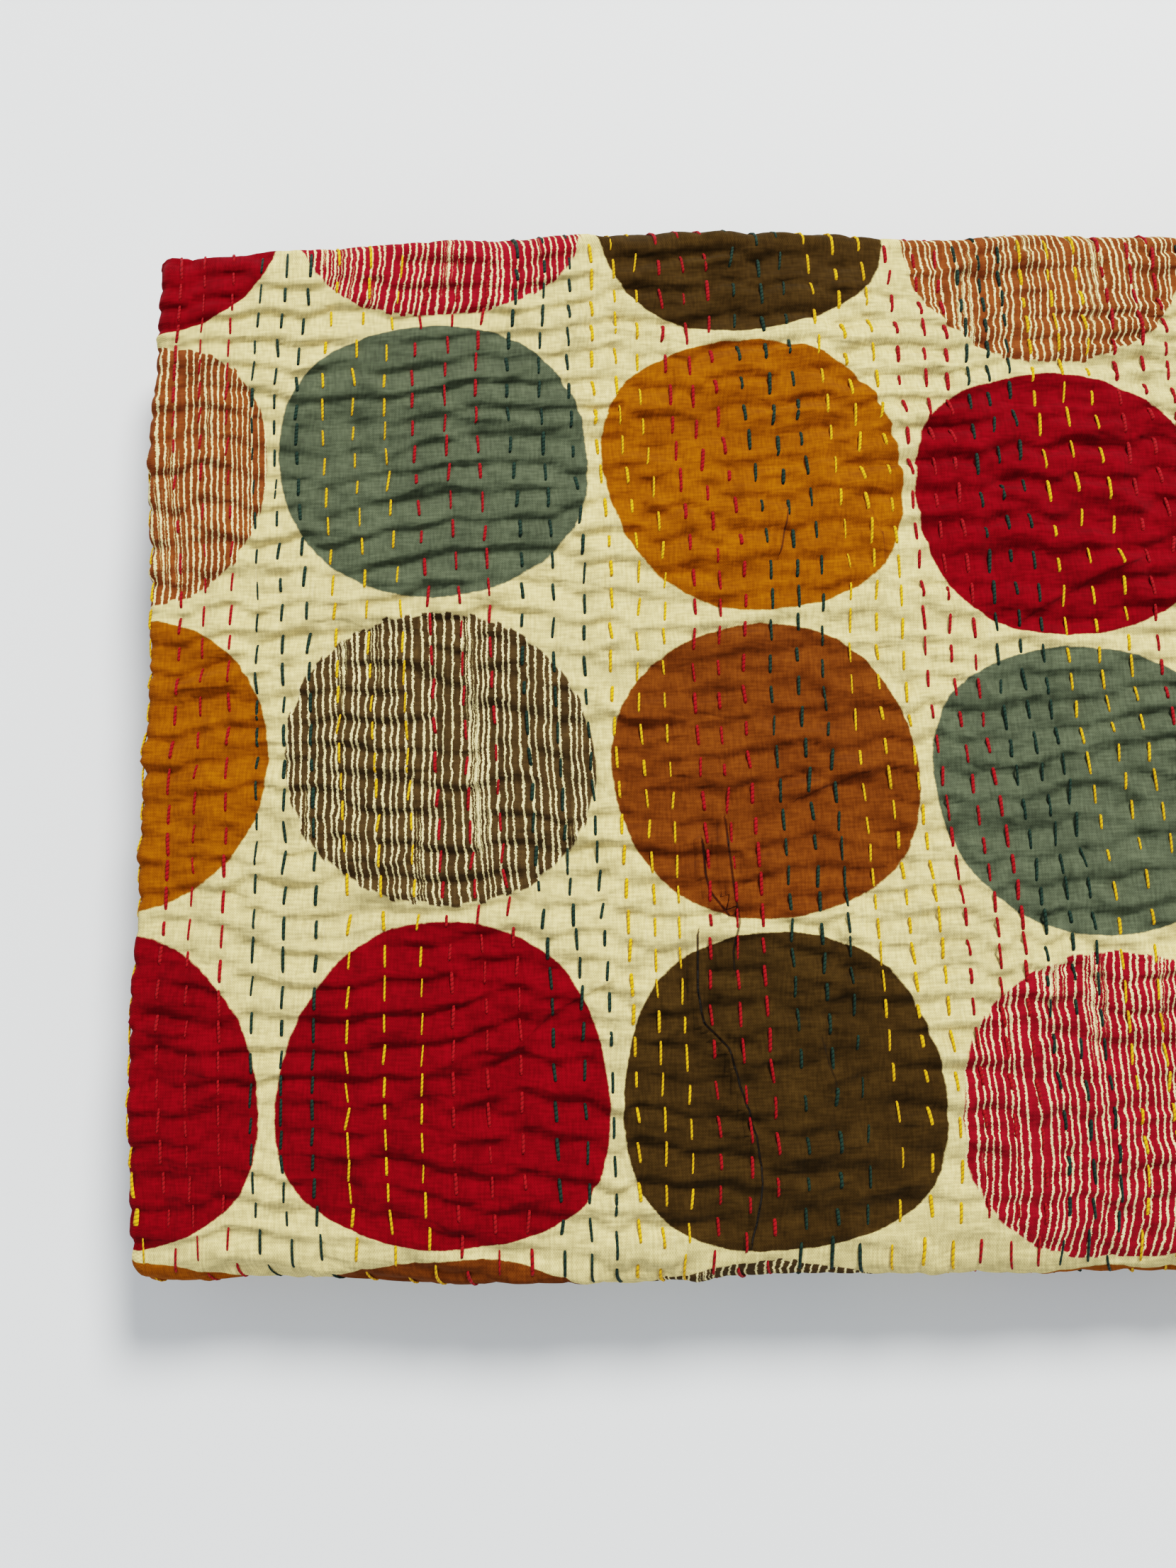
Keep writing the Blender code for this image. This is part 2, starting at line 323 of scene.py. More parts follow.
@dataclass
class FoldedPile:
    """The folded pile, which turns places on the flat cloth into places in the room."""

    width: float = 0.508
    depth: float = 0.381
    thickness: float = 0.0024
    layer_pitch: float = 0.0030
    edge_droop: float = 0.0022
    edge_reach: float = 0.016
    front_droop: float = 0.0060
    front_reach: float = 0.034
    box_columns: int = 240
    box_rows: int = 900
    shift: tuple[float, float] = (0.0, 0.0)
    across: StripPath = field(init=False)
    along: StripPath = field(init=False)

    def __post_init__(self) -> None:
        """Works out the two paths and centres the footprint."""
        half_cloth = self.thickness / 2
        self.half_strip = self.layer_pitch + half_cloth
        strip_pitch = len(ACROSS) * self.layer_pitch
        self.across = StripPath(ACROSS_START, ACROSS, self.layer_pitch, self.width / 2, half_cloth)
        self.along = StripPath(ALONG_START, ALONG, strip_pitch, self.depth / 2, self.half_strip)
        self.height = strip_pitch * max(run.level for run in ALONG) + 2 * self.half_strip
        across = np.linspace(0, self.across.length, self.box_columns)
        along = np.linspace(0, self.along.length, self.box_rows)
        across, along = (places.ravel() for places in np.meshgrid(across, along))
        both = [self.point(across, along, side * half_cloth) for side in (-1, 1)]
        box = np.concatenate(both)
        middle = (box.min(axis=0) + box.max(axis=0)) / 2
        self.shift = (-middle[0], -middle[1])

    @staticmethod
    def drift(drifts: tuple[Drift, ...], up: Array, along: Array) -> Array:
        """Adds up the waves that set the layers a little out of line."""
        return sum(wave.size * np.sin(math.tau * (wave.waves_up * up + wave.waves_along * along) + wave.phase)
                   for wave in drifts)

    def point(self, across: Array, along: Array, height: Array | float) -> Array:
        """Folds and settles places on the flat cloth.

        Args:
            across: places across the cloth.
            along: places along the cloth.
            height: heights over the middle of the cloth.

        Returns:
            The places in the room, a row for each.
        """
        across, along, height = np.broadcast_arrays(across, along, height)
        x, up_strip = self.across.place(across, height)
        y, z = self.along.place(along, up_strip - self.layer_pitch)
        z = z + self.half_strip
        up = z / self.height
        new_x = x + up * self.drift(SIDE_DRIFTS, up, y / self.depth)
        new_y = y + up * self.drift(FRONT_DRIFTS, up, x / self.width)
        lift = np.zeros_like(x)
        for pull in PULLS:
            strength = np.exp(-((x - pull.x) ** 2 + (y - pull.y) ** 2) / pull.reach ** 2)
            new_x = new_x + pull.shift_x * strength * (0.5 + 0.5 * up)
            new_y = new_y + pull.shift_y * strength * (0.5 + 0.5 * up)
            lift = lift + pull.lift * strength
        side = np.exp(-(((x + self.width / 2) / self.edge_reach) ** 2))
        front = np.exp(-(((y + self.depth / 2) / self.front_reach) ** 2))
        z = z * (1 + lift) - (self.edge_droop * side + self.front_droop * front) * up ** 2
        return np.stack([new_x + self.shift[0], new_y + self.shift[1], z], axis=-1)

    def top_place(self, across: Array, along: Array) -> tuple[Array, Array]:
        """Gives where flat places would lie if the top went on flat past its folds.

        A fold's outer face is longer than its middle line, so it counts for its own length.
        """
        left = self.across.run_limits(TOP_THIRD)[0]
        front, back = self.along.run_limits(TOP_RUN)
        past_left = np.clip(left - across, 0, math.pi * self.across.radii[TOP_THIRD - 1])
        past_front = np.clip(front - along, 0, math.pi * self.along.radii[TOP_RUN - 1])
        past_back = np.clip(along - back, 0, math.pi * self.along.radii[TOP_RUN])
        x = across - left + self.across.places[TOP_THIRD]
        y = along - front + self.along.places[TOP_RUN]
        x = x - past_left * self.thickness / 2 / self.across.radii[TOP_THIRD - 1]
        y = y - past_front * self.half_strip / self.along.radii[TOP_RUN - 1]
        return x, y + past_back * self.half_strip / self.along.radii[TOP_RUN]


@dataclass(frozen=True)
class PrintedDot:
    """Where one dot of the top lies, as the cloth was pulled in sewing.

    Attributes:
        column: its column in the repeat.
        row: its row in the repeat.
        x: its middle from left to right.
        y: its middle from front to back.
        half_width: half its width.
        half_depth: half its size from front to back.
        lean: how far its upright line leans.
    """

    column: int
    row: int
    x: float
    y: float
    half_width: float
    half_depth: float
    lean: float


DOTS = (
    PrintedDot(0, 1, -0.2635, 0.2020, 0.0550, 0.0555, 0.035),
    PrintedDot(1, 1, -0.1495, 0.2060, 0.0570, 0.0550, 0.045),
    PrintedDot(2, 1, -0.0400, 0.1940, 0.0550, 0.0550, 0.060),
    PrintedDot(3, 1, 0.0740, 0.1840, 0.0530, 0.0550, 0.045),
    PrintedDot(0, 2, -0.2620, 0.1030, 0.0565, 0.0615, 0.065),
    PrintedDot(1, 2, -0.1530, 0.1050, 0.0595, 0.0580, 0.080),
    PrintedDot(2, 2, -0.0335, 0.0945, 0.0555, 0.0590, 0.115),
    PrintedDot(3, 2, 0.0770, 0.0765, 0.0550, 0.0565, 0.060),
    PrintedDot(0, 3, -0.2615, -0.0115, 0.0545, 0.0550, -0.010),
    PrintedDot(1, 3, -0.1475, -0.0115, 0.0560, 0.0535, 0.020),
    PrintedDot(2, 3, -0.0325, -0.0180, 0.0545, 0.0560, 0.020),
    PrintedDot(3, 3, 0.0800, -0.0265, 0.0560, 0.0560, 0.095),
    PrintedDot(0, 4, -0.2635, -0.1370, 0.0560, 0.0635, 0.025),
    PrintedDot(1, 4, -0.1440, -0.1345, 0.0595, 0.0690, -0.010),
    PrintedDot(2, 4, -0.0315, -0.1335, 0.0570, 0.0685, 0.040),
    PrintedDot(3, 4, 0.0840, -0.1425, 0.0555, 0.0600, 0.065),
    PrintedDot(0, 5, -0.2560, -0.2225, 0.0560, 0.0540, 0.020),
    PrintedDot(1, 5, -0.1375, -0.2175, 0.0580, 0.0530, 0.015),
    PrintedDot(2, 5, -0.0390, -0.2245, 0.0565, 0.0535, 0.015),
    PrintedDot(3, 5, 0.0755, -0.2340, 0.0560, 0.0540, 0.020),
)


@dataclass
class PrintChart:
    """Where the print lies on the cloth: a plain grid of cells, pulled aside round the known dots."""

    pile: FoldedPile
    dots: tuple[PrintedDot, ...] = DOTS
    middle: tuple[float, float] = (-0.0900, -0.0200)
    middle_cell: tuple[float, float] = (2.0, 3.5)
    width: float = 0.1148
    depth: float = 0.1105
    lean: float = 0.036
    slope: float = 0.040
    lean_limit: float = 0.25
    slope_limits: tuple[float, float] = (-0.25, 0.35)
    reach: float = 0.045
    hold: float = 0.010
    search_steps: int = 12
    search_share: float = 0.9

    def cells(self, across: Array, along: Array) -> tuple[Array, Array]:
        """Gives the print's places, where each whole number starts a new cell.

        Args:
            across: places across the cloth.
            along: places along the cloth.

        Returns:
            The places in columns and in rows.
        """
        x, y = self.pile.top_place(np.asarray(across, float), np.asarray(along, float))
        right, back = x - self.middle[0], y - self.middle[1]
        leaned = right + self.lean * np.clip(back, -self.lean_limit, self.lean_limit)
        sloped = back + self.slope * np.clip(right, *self.slope_limits)
        columns = self.middle_cell[0] + leaned / self.width
        rows = self.middle_cell[1] - sloped / self.depth
        weight, pull_columns, pull_rows = self.hold, 0.0, 0.0
        for dot in self.dots:
            off_x, off_y = x - dot.x, y - dot.y
            strength = np.exp(-(off_x ** 2 + off_y ** 2) / self.reach ** 2)
            own_column = dot.column + 0.5 + DOT_RADIUS * (off_x + dot.lean * off_y) / dot.half_width
            own_row = dot.row + 0.5 - DOT_RADIUS * off_y / dot.half_depth
            weight = weight + strength
            pull_columns = pull_columns + strength * (own_column - columns)
            pull_rows = pull_rows + strength * (own_row - rows)
        return columns + pull_columns / weight, rows + pull_rows / weight

    def across_at(self, column: Array, along: Array, guess: Array) -> Array:
        """Finds the places across the cloth where the print has some columns.

        Args:
            column: the columns to find.
            along: the places along the cloth.
            guess: where to start looking.

        Returns:
            The places across the cloth.
        """
        across = guess
        for _ in range(self.search_steps):
            across = across + self.search_share * self.width * (column - self.cells(across, along)[0])
        return across


class Thread(Enum):
    """The three colours of sewing thread, in the order in which their rows follow each other."""

    RED = (0.28, 0.007, 0.011)
    DARK_GREEN = (0.014, 0.033, 0.024)
    YELLOW = (0.68, 0.35, 0.010)


# Where the rows of stitches run on the top, in the print's columns, from the folded edge to the right
ROW_COLUMNS = (
    0.655, 0.738, 0.835, 0.930, 1.018, 1.105, 1.200, 1.300, 1.400, 1.484, 1.577, 1.668, 1.763,
    1.858, 1.950, 2.030, 2.113, 2.192, 2.280, 2.358, 2.436, 2.520, 2.606, 2.682, 2.772, 2.860,
    2.950, 3.030, 3.120, 3.195, 3.262, 3.335, 3.405, 3.480, 3.575, 3.670, 3.760, 3.850, 3.930,
)


@dataclass
class StitchRows:
    """The rows of running stitch: where each row runs and where each stitch lies."""

    chart: PrintChart
    pitch: float = 0.0900
    edge_pitch: float = 0.1040
    rows_a_colour: int = 3
    lean_row: float = 3.0
    lean_base: float = 0.012
    lean_more: float = 0.0010
    lean_rows: int = 40
    lean_reach: float = 3.0
    wobble: float = 0.0050
    step: float = 0.0112
    drift: float = 0.90
    stray: float = 0.34
    length: float = 0.0074
    length_spread: float = 0.0011
    shortest: float = 0.0038
    longest: float = 0.0100
    jitter: float = 0.0004
    rows_before: int = 12
    rows_after: int = 4
    fine_steps: int = 1600
    wobble_change: float = 0.83
    drift_change: float = 0.17
    stray_change: float = 1.37
    seed: int = 11

    def __post_init__(self) -> None:
        """Places every stitch of every row."""
        self.wobble_noise = SoftNoise(self.seed, long=0.045)
        self.drift_noise = SoftNoise(self.seed + 1, long=0.075)
        self.stray_noise = SoftNoise(self.seed + 3, long=0.055)
        chance = np.random.default_rng(self.seed + 2)
        cloth = self.chart.pile
        first_column = self.chart.cells(0.0, 0.0)[0]
        last_column = self.chart.cells(cloth.across.length, 0.0)[0]
        before = math.ceil(first_column / self.pitch) - self.rows_before
        after = math.floor((last_column - ROW_COLUMNS[-1]) / self.pitch) + self.rows_after
        lower = ROW_COLUMNS[0] + self.edge_pitch * np.arange(before, 0)
        higher = ROW_COLUMNS[-1] + self.pitch * np.arange(1, after)
        self.columns = np.concatenate([lower, ROW_COLUMNS, higher])
        self.first = -before
        left = cloth.across.run_limits(TOP_THIRD)[0]
        self.across: list[Array] = []
        self.along: list[Array] = []
        self.lengths: list[Array] = []
        fine = np.linspace(0.0, cloth.along.length, self.fine_steps)
        for index, column in enumerate(self.columns):
            phase = self.phase(index, fine)
            middles = np.arange(math.ceil(phase[0]), math.floor(phase[-1])) + 0.5
            places = np.interp(middles, phase, fine) + chance.normal(0, self.jitter, len(middles))
            lengths = chance.normal(self.length, self.length_spread, len(middles))
            guess = np.full(len(middles), left + (column - ROW_COLUMNS[0]) * self.chart.width)
            self.along.append(places)
            self.lengths.append(np.clip(lengths, self.shortest, self.longest))
            self.across.append(self.chart.across_at(self.row_column(index, places), places, guess))

    def phase(self, index: Array | int, along: Array) -> Array:
        """Gives a row's place in its rhythm of stitch and gap: whole numbers are the gaps' middles."""
        number = np.asarray(index) - self.first
        together = self.drift * self.drift_noise.at(number * self.drift_change, along)
        stray = self.stray * self.stray_noise.at(number * self.stray_change, along)
        return along / self.step + together + stray

    def row_column(self, index: Array | int, along: Array) -> Array:
        """Gives the print's column that a row keeps to at a place along the cloth."""
        number = np.asarray(index) - self.first
        y = self.chart.pile.top_place(np.asarray(0.0), along)[1]
        row = self.chart.middle_cell[1] - (y - self.chart.middle[1]) / self.chart.depth
        lean = self.lean_base + self.lean_more * np.clip(number, 0, self.lean_rows)
        lean = lean * np.clip(row - self.lean_row, -self.lean_reach, self.lean_reach)
        wobble = self.wobble * self.wobble_noise.at(number * self.wobble_change, along)
        return self.columns[index] + lean + wobble

    def nearest_row(self, columns: Array, along: Array) -> tuple[Array, Array]:
        """Finds the row nearest to each place.

        Args:
            columns: the print's columns at the places.
            along: the places along the cloth.

        Returns:
            The rows, and how far beside its row each place lies, in metres.
        """
        index = np.clip(np.searchsorted(self.columns, columns), 1, len(self.columns) - 1)
        for _ in range(2):
            ahead = np.abs(columns - self.row_column(index, along))
            for other in (-1, 1):
                beside = np.clip(index + other, 0, len(self.columns) - 1)
                index = np.where(np.abs(columns - self.row_column(beside, along)) < ahead, beside, index)
                ahead = np.abs(columns - self.row_column(index, along))
        return index, (columns - self.row_column(index, along)) * self.chart.width

    def neighbours(self, columns: Array, along: Array) -> tuple[Array, Array, Array, Array]:
        """Finds the two rows on either side of each place.

        Args:
            columns: the print's columns at the places.
            along: the places along the cloth.

        Returns:
            The nearest row, the other one, how far beside the nearest the place lies in metres, and the
            other row's share, from 0 on the nearest row to a half midway.
        """
        row, aside = self.nearest_row(columns, along)
        beside = np.clip(row + np.where(aside < 0, -1, 1), 0, len(self.columns) - 1)
        rest = np.abs(columns - self.row_column(beside, along)) * self.chart.width
        return row, beside, aside, np.clip(np.abs(aside) / (np.abs(aside) + rest + 1e-9), 0.0, 0.5)

    def colour(self, index: int) -> Thread:
        """Gives the thread of a row."""
        return list(Thread)[((index - self.first) // self.rows_a_colour) % len(Thread)]


@dataclass
class Relief:
    """How the stitching raises and pinches the cloth, over the plain folded sheet."""

    pile: FoldedPile
    rows: StitchRows
    pucker: float = 0.00160
    skew: float = 0.125
    crest_power: float = 0.8
    full_middle: float = 0.72
    full_spread: float = 0.62
    full_limits: tuple[float, float] = (0.08, 1.30)
    wrinkle: float = 0.00120
    wrinkle_middle: float = 0.4
    wrinkle_bend: float = 0.004
    crinkle: float = 0.00030
    crinkle_slip: float = 0.003
    swelling: float = 0.0006
    channel: float = 0.00040
    channel_width: float = 0.0022
    channel_between: float = 1.15
    channel_filled: float = 0.55
    pinch: float = 0.00035
    pinch_width: float = 0.0013
    hem_rise: float = 0.0006
    hem_width: float = 0.009
    hem_soft: float = 0.8
    tuck_fall: tuple[float, float] = (0.0012, -0.0006)
    tuck_dip: float = 0.0016
    tuck_dip_share: float = 0.45
    line_limit: float = 0.01
    line_past: float = 0.006
    line_fade: tuple[float, float] = (0.0024, 0.0014)
    shown_soft: float = 0.004
    side_share: float = 0.75
    seed: int = 40

    def __post_init__(self) -> None:
        """Makes the noises that vary the puckers, each with the size of its patches."""
        self.fullness = SoftNoise(self.seed, 0.034, 0.0125)
        self.folds = SoftNoise(self.seed + 1, 0.027, 0.0085)
        self.swell = SoftNoise(self.seed + 2, 0.09, 0.07)
        self.crinkles = SoftNoise(self.seed + 3, 0.011, 0.0042)
        self.bend = SoftNoise(self.seed + 4, 0.018, 0.026)
        self.slip = SoftNoise(self.seed + 5, 0.012, 0.015)

    def height(self, across: Array, along: Array) -> Array:
        """Gives how far the cloth's face stands off the plain sheet.

        Args:
            across: places across the cloth.
            along: places along the cloth.

        Returns:
            The heights in metres.
        """
        row, beside, aside, share = self.rows.neighbours(self.rows.chart.cells(across, along)[0], along)
        own, other = (np.exp(1j * math.tau * self.rows.phase(number, along)) for number in (row, beside))
        wave = (1 - share) * own + share * other
        phase = np.angle(wave) / math.tau
        skewed = phase + self.skew * (np.cos(math.tau * phase) - 1)
        crest = (0.5 + 0.5 * np.cos(math.tau * skewed)) ** self.crest_power
        full = self.full_middle + self.full_spread * self.fullness.at(across, along)
        total = self.pucker * crest * np.clip(full, *self.full_limits) * np.sqrt(np.abs(wave))
        bent = along + self.wrinkle_bend * self.bend.at(across, along)
        ridge = 1 - np.abs(self.folds.at(across, bent))
        total += self.wrinkle * (ridge ** 2 - self.wrinkle_middle)
        slipped = along + self.crinkle_slip * self.slip.at(across, along)
        total += self.crinkle * self.crinkles.at(across, slipped)
        total += self.swelling * self.swell.at(across, along)
        total += self.sewn(row, aside, along, crest)
        total += self.tucks(*self.pile.top_place(across, along))
        to_hem = np.minimum(self.pile.across.length - across, along)
        total += self.hem_rise * smooth_step(self.hem_width, self.hem_width * self.hem_soft, to_hem)
        return total

    def sewn(self, row: Array, aside: Array, along: Array, crest: Array) -> Array:
        """Gives the channel of the nearest row and the pinches at its stitches' ends."""
        dip = np.exp(-((aside / self.channel_width) ** 2))
        total = -self.channel * dip * (self.channel_between - self.channel_filled * crest)
        near = np.abs(aside) < 3 * self.pinch_width
        for number in np.unique(row[near]):
            here = near & (row == number)
            centres, lengths = self.rows.along[number], self.rows.lengths[number]
            index = np.clip(np.searchsorted(centres, along[here]), 1, len(centres) - 1)
            index -= (along[here] - centres[index - 1]) < (centres[index] - along[here])
            past = np.abs(along[here] - centres[index]) - lengths[index] / 2
            end = np.hypot(past, aside[here]) / self.pinch_width
            total[here] -= self.pinch * np.exp(-end * end)
        return total

    @staticmethod
    def beside_tuck(tuck: Tuck, x: Array, y: Array) -> tuple[Array, Array]:
        """Gives where places lie beside a tuck.

        Args:
            tuck: the tuck.
            x: the places' distances to the right on the flat top.
            y: their distances to the back.

        Returns:
            How far off the tuck's line each place is, below 0 on the lip's side, and how far past its ends.
        """
        nearest = np.full(x.shape, np.inf)
        off, past = np.zeros_like(x), np.zeros_like(x)
        last = len(tuck.points) - 2
        for index, (start, end) in enumerate(zip(tuck.points, tuck.points[1:])):
            run = np.subtract(end, start)
            length = math.hypot(*run)
            off_x, off_y = x - start[0], y - start[1]
            part = (off_x * run[0] + off_y * run[1]) / length ** 2
            side = (off_y * run[0] - off_x * run[1]) / length
            beyond = np.maximum(-part, part - 1) * length
            away = np.hypot(side, np.maximum(beyond, 0))
            closer = away < nearest
            nearest = np.where(closer, away, nearest)
            off = np.where(closer, np.copysign(away, side), off)
            open_end = np.where(part < 0, index == 0, index == last)
            past = np.where(closer, np.where(open_end, np.maximum(beyond, 0), 0.0), past)
        return off, past

    def tucks(self, x: Array, y: Array) -> Array:
        """Gives how far the tucks raise the top: a slow rise to the line and a short fall past it."""
        total = np.zeros_like(x)
        for tuck in TUCKS:
            off, past = self.beside_tuck(tuck, x, y)
            fade = np.exp(-((past / tuck.lip) ** 2))
            rise = np.exp(-((np.minimum(off, 0) / tuck.lip) ** 2)) * smooth_step(*self.tuck_fall, off)
            dip = np.exp(-(((off - self.tuck_dip) / self.tuck_dip) ** 2))
            total = total + tuck.height * fade * (rise - self.tuck_dip_share * dip)
        return total

    def tuck_lines(self, x: Array, y: Array) -> tuple[Array, Array]:
        """Gives the nearest tuck's line for the finish, which paints shade along it and bumps a step there:
        how far off it and how sharp it is.
        """
        nearest, sharp = np.full(x.shape, np.inf), np.zeros_like(x)
        line = np.full(x.shape, self.line_limit)
        for tuck in TUCKS:
            off, past = self.beside_tuck(tuck, x, y)
            closer = np.abs(off) + past < nearest
            nearest = np.where(closer, np.abs(off) + past, nearest)
            line = np.where(closer, np.clip(off, -self.line_limit, self.line_limit), line)
            near = smooth_step(self.line_past, 0.0, past) * smooth_step(*self.line_fade, np.abs(off))
            sharp = np.where(closer, tuck.sharp * near, sharp)
        return line, sharp

    def shown(self, across: Array, along: Array, side: Array) -> Array:
        """Gives how much of the relief a place takes: all on faces that show, none between layers.

        Args:
            across: places across the cloth.
            along: places along the cloth.
            side: 1 on the cloth's printed side, -1 on its other.

        Returns:
            The share at each place, 0 to 1.
        """
        pile = self.pile
        share = np.zeros_like(across)
        third = pile.across.run_limits(TOP_THIRD)
        bottom = pile.across.run_limits(0)
        top = (pile.along.turn_limits(TOP_RUN - 1)[0], pile.along.turn_limits(TOP_RUN)[1])
        stretches = [(top, third, 1)]
        for k in (0, 1, 2):
            face = pile.along.outer_side(k)
            stretches.append((pile.along.turn_limits(k), third if face > 0 else bottom, face))
        for limits, layer, face in stretches:
            inside = smooth_step(0, self.shown_soft, np.minimum(along - limits[0], limits[1] - along))
            held = (across >= layer[0] - 1e-6) & (across <= layer[1] + 1e-6) & (side == face)
            share = np.maximum(share, np.where(held, inside, 0.0))
        for k in (0, 1):
            begin, end = pile.across.turn_limits(k)
            bulge = np.sin(math.pi * np.clip((across - begin) / (end - begin), 0, 1))
            held = (across >= begin) & (across <= end) & (side == pile.across.outer_side(k))
            on_top = (along > top[0]) & (along < top[1]) & (across > (begin + end) / 2) & (k == 1)
            share = np.maximum(share, np.where(held, np.where(on_top, 1.0, self.side_share * bulge), 0.0))
        return share


@dataclass
class QuiltCloth:
    """The folded cloth: one closed sheet, fine where it shows and plain between its layers.

    Its normals lean a little more than the puckers do, for the creases too fine for its faces.
    """

    pile: FoldedPile
    rows: StitchRows
    relief: Relief
    third_steps: int = 8
    run_steps: int = 6
    edge_turn_steps: int = 6
    run_turn_steps: int = 8
    front_turn_steps: int = 10
    columns_a_step: int = 31
    rows_a_step: int = 42
    hidden_rows_a_step: int = 16
    shading: float = 2.35

    def slab(self) -> bmesh.types.BMesh:
        """Makes the cloth laid out flat, as a slab with points where the folds need them."""
        half = self.pile.thickness / 2
        across = self.pile.across.stations(self.third_steps, [self.edge_turn_steps] * 2)
        turns = [self.run_turn_steps] * (len(ALONG) - 1)
        turns[TOP_RUN - 1] = self.front_turn_steps
        along = self.pile.along.stations(self.run_steps, turns)
        columns, rows = len(across) - 1, len(along) - 1
        mesh = bmesh.new()
        bmesh.ops.create_grid(mesh, x_segments=columns, y_segments=rows, size=1.0)
        for vert in mesh.verts:
            column, row = round((vert.co.x + 1) / 2 * columns), round((vert.co.y + 1) / 2 * rows)
            vert.co = (across[column], along[row], -half)
        raised = bmesh.ops.extrude_face_region(mesh, geom=mesh.faces[:], use_keep_orig=True)
        for item in raised["geom"]:
            if isinstance(item, bmesh.types.BMVert):
                item.co.z = half
        bmesh.ops.recalc_face_normals(mesh, faces=mesh.faces[:])
        return mesh

    @staticmethod
    def cut(mesh: bmesh.types.BMesh, across: tuple[float, float], along: tuple[float, float], side: int,
            axis: int, cuts: int) -> None:
        """Cuts the faces of one flat stretch finer.

        Args:
            mesh: the flat slab.
            across: the stretch's limits across the cloth.
            along: its limits along the cloth.
            side: which side of the cloth.
            axis: 0 for cuts that add columns, 1 for cuts that add rows.
            cuts: how many cuts each edge takes.
        """
        edges = set()
        for face in mesh.faces:
            middle = face.calc_center_median()
            inside = across[0] < middle.x < across[1] and along[0] < middle.y < along[1]
            if inside and middle.z * side > 1e-4:
                for edge in face.edges:
                    step = edge.verts[1].co - edge.verts[0].co
                    if abs(step[axis]) > abs(step[1 - axis]):
                        edges.add(edge)
        bmesh.ops.subdivide_edges(mesh, edges=list(edges), cuts=cuts, use_grid_fill=True)

    def refine(self, mesh: bmesh.types.BMesh) -> None:
        """Cuts every face that shows finer: rows first, then columns."""
        wide, long = self.pile.across, self.pile.along
        third, bottom = wide.run_limits(TOP_THIRD), wide.run_limits(0)
        left, right = wide.turn_limits(1), wide.turn_limits(0)
        front, back = long.turn_limits(TOP_RUN - 1), long.turn_limits(TOP_RUN)
        top_and_left = (left[0], third[1])
        for index in range(len(ALONG)):
            limits = long.run_limits(index)
            fine = index == TOP_RUN
            cuts = (self.rows_a_step if fine else self.hidden_rows_a_step) - 1
            self.cut(mesh, top_and_left if fine else left, limits, 1, 1, cuts)
            self.cut(mesh, right, limits, -1, 1, cuts)
        for limits in (front, back):
            self.cut(mesh, top_and_left, limits, 1, 1, 1)
        columns = self.columns_a_step - 1
        self.cut(mesh, third, (front[0], back[1]), 1, 0, columns)
        for index in (0, 1, 2):
            side = long.outer_side(index)
            layer = third if side > 0 else bottom
            self.cut(mesh, layer, long.turn_limits(index), side, 1, 1)
            self.cut(mesh, layer, long.turn_limits(index), side, 0, columns // 2)

    def build(self) -> bpy.types.Object:
        """Folds the cloth and dresses it with its flat and print coordinates.

        Returns:
            The cloth's object.
        """
        slab = self.slab()
        self.refine(slab)
        mesh = bpy.data.meshes.new("folded_cloth")
        slab.to_mesh(mesh)
        slab.free()
        flat = np.empty(len(mesh.vertices) * 3, dtype=np.float32)
        mesh.vertices.foreach_get("co", flat)
        flat = flat.reshape(-1, 3).astype(float)
        across, along, side = flat[:, 0], flat[:, 1], np.sign(flat[:, 2])
        rise = side * self.relief.shown(across, along, side) * self.relief.height(across, along)
        mesh.shade_smooth()
        self.chart(mesh, across, along)
        self.place(mesh, across, along, flat[:, 2] + self.shading * rise)
        normals = np.empty(len(mesh.vertices) * 3, dtype=np.float32)
        mesh.vertex_normals.foreach_get("vector", normals)
        self.place(mesh, across, along, flat[:, 2] + rise)
        mesh.normals_split_custom_set_from_vertices(normals.reshape(-1, 3))
        cloth = bpy.data.objects.new("folded_cloth", mesh)
        bpy.context.scene.collection.objects.link(cloth)
        cloth.data.materials.append(PrintedCotton().material())
        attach(cloth, "root")
        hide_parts("quilt")
        LOG.info("folded cloth: %d points, %d faces", len(mesh.vertices), len(mesh.polygons))
        return cloth

    def place(self, mesh: bpy.types.Mesh, across: Array, along: Array, height: Array) -> None:
        """Moves the mesh's points to where the fold lays them."""
        places = self.pile.point(across, along, height)
        mesh.vertices.foreach_set("co", places.astype(np.float32).ravel())
        mesh.update()

    def chart(self, mesh: bpy.types.Mesh, across: Array, along: Array) -> None:
        """Writes the flat places, the print's places and the tucks' lines as UV maps."""
        loops = np.empty(len(mesh.loops), dtype=np.int32)
        mesh.loops.foreach_get("vertex_index", loops)
        columns, rows = self.rows.chart.cells(across, along)
        line, sharp = self.relief.tuck_lines(*self.pile.top_place(across, along))
        for name, pair in (("flat", (across, along)), ("print", (columns, rows)), ("tucks", (line, sharp))):
            layer = mesh.uv_layers.new(name=name)
            layer.data.foreach_set("uv", np.stack(pair, axis=-1)[loops].astype(np.float32).ravel())


class Dye(Enum):
    """The print's colours."""

    RED = (0.153, 0.0015, 0.0072)
    PALE_RED = (0.220, 0.0080, 0.0170)
    RUST = (0.132, 0.040, 0.006)
    PALE_RUST = (0.172, 0.050, 0.014)
    DARK_BROWN = (0.045, 0.0265, 0.0075)
    PALE_BROWN = (0.062, 0.039, 0.016)
    GREEN = (0.073, 0.085, 0.054)
    MUSTARD = (0.235, 0.071, 0.0010)


@dataclass(frozen=True)
class Dot:
    """One dot of the repeat: its dye and whether it is printed solid or in wood-like streaks."""

    dye: Dye
    solid: bool = True


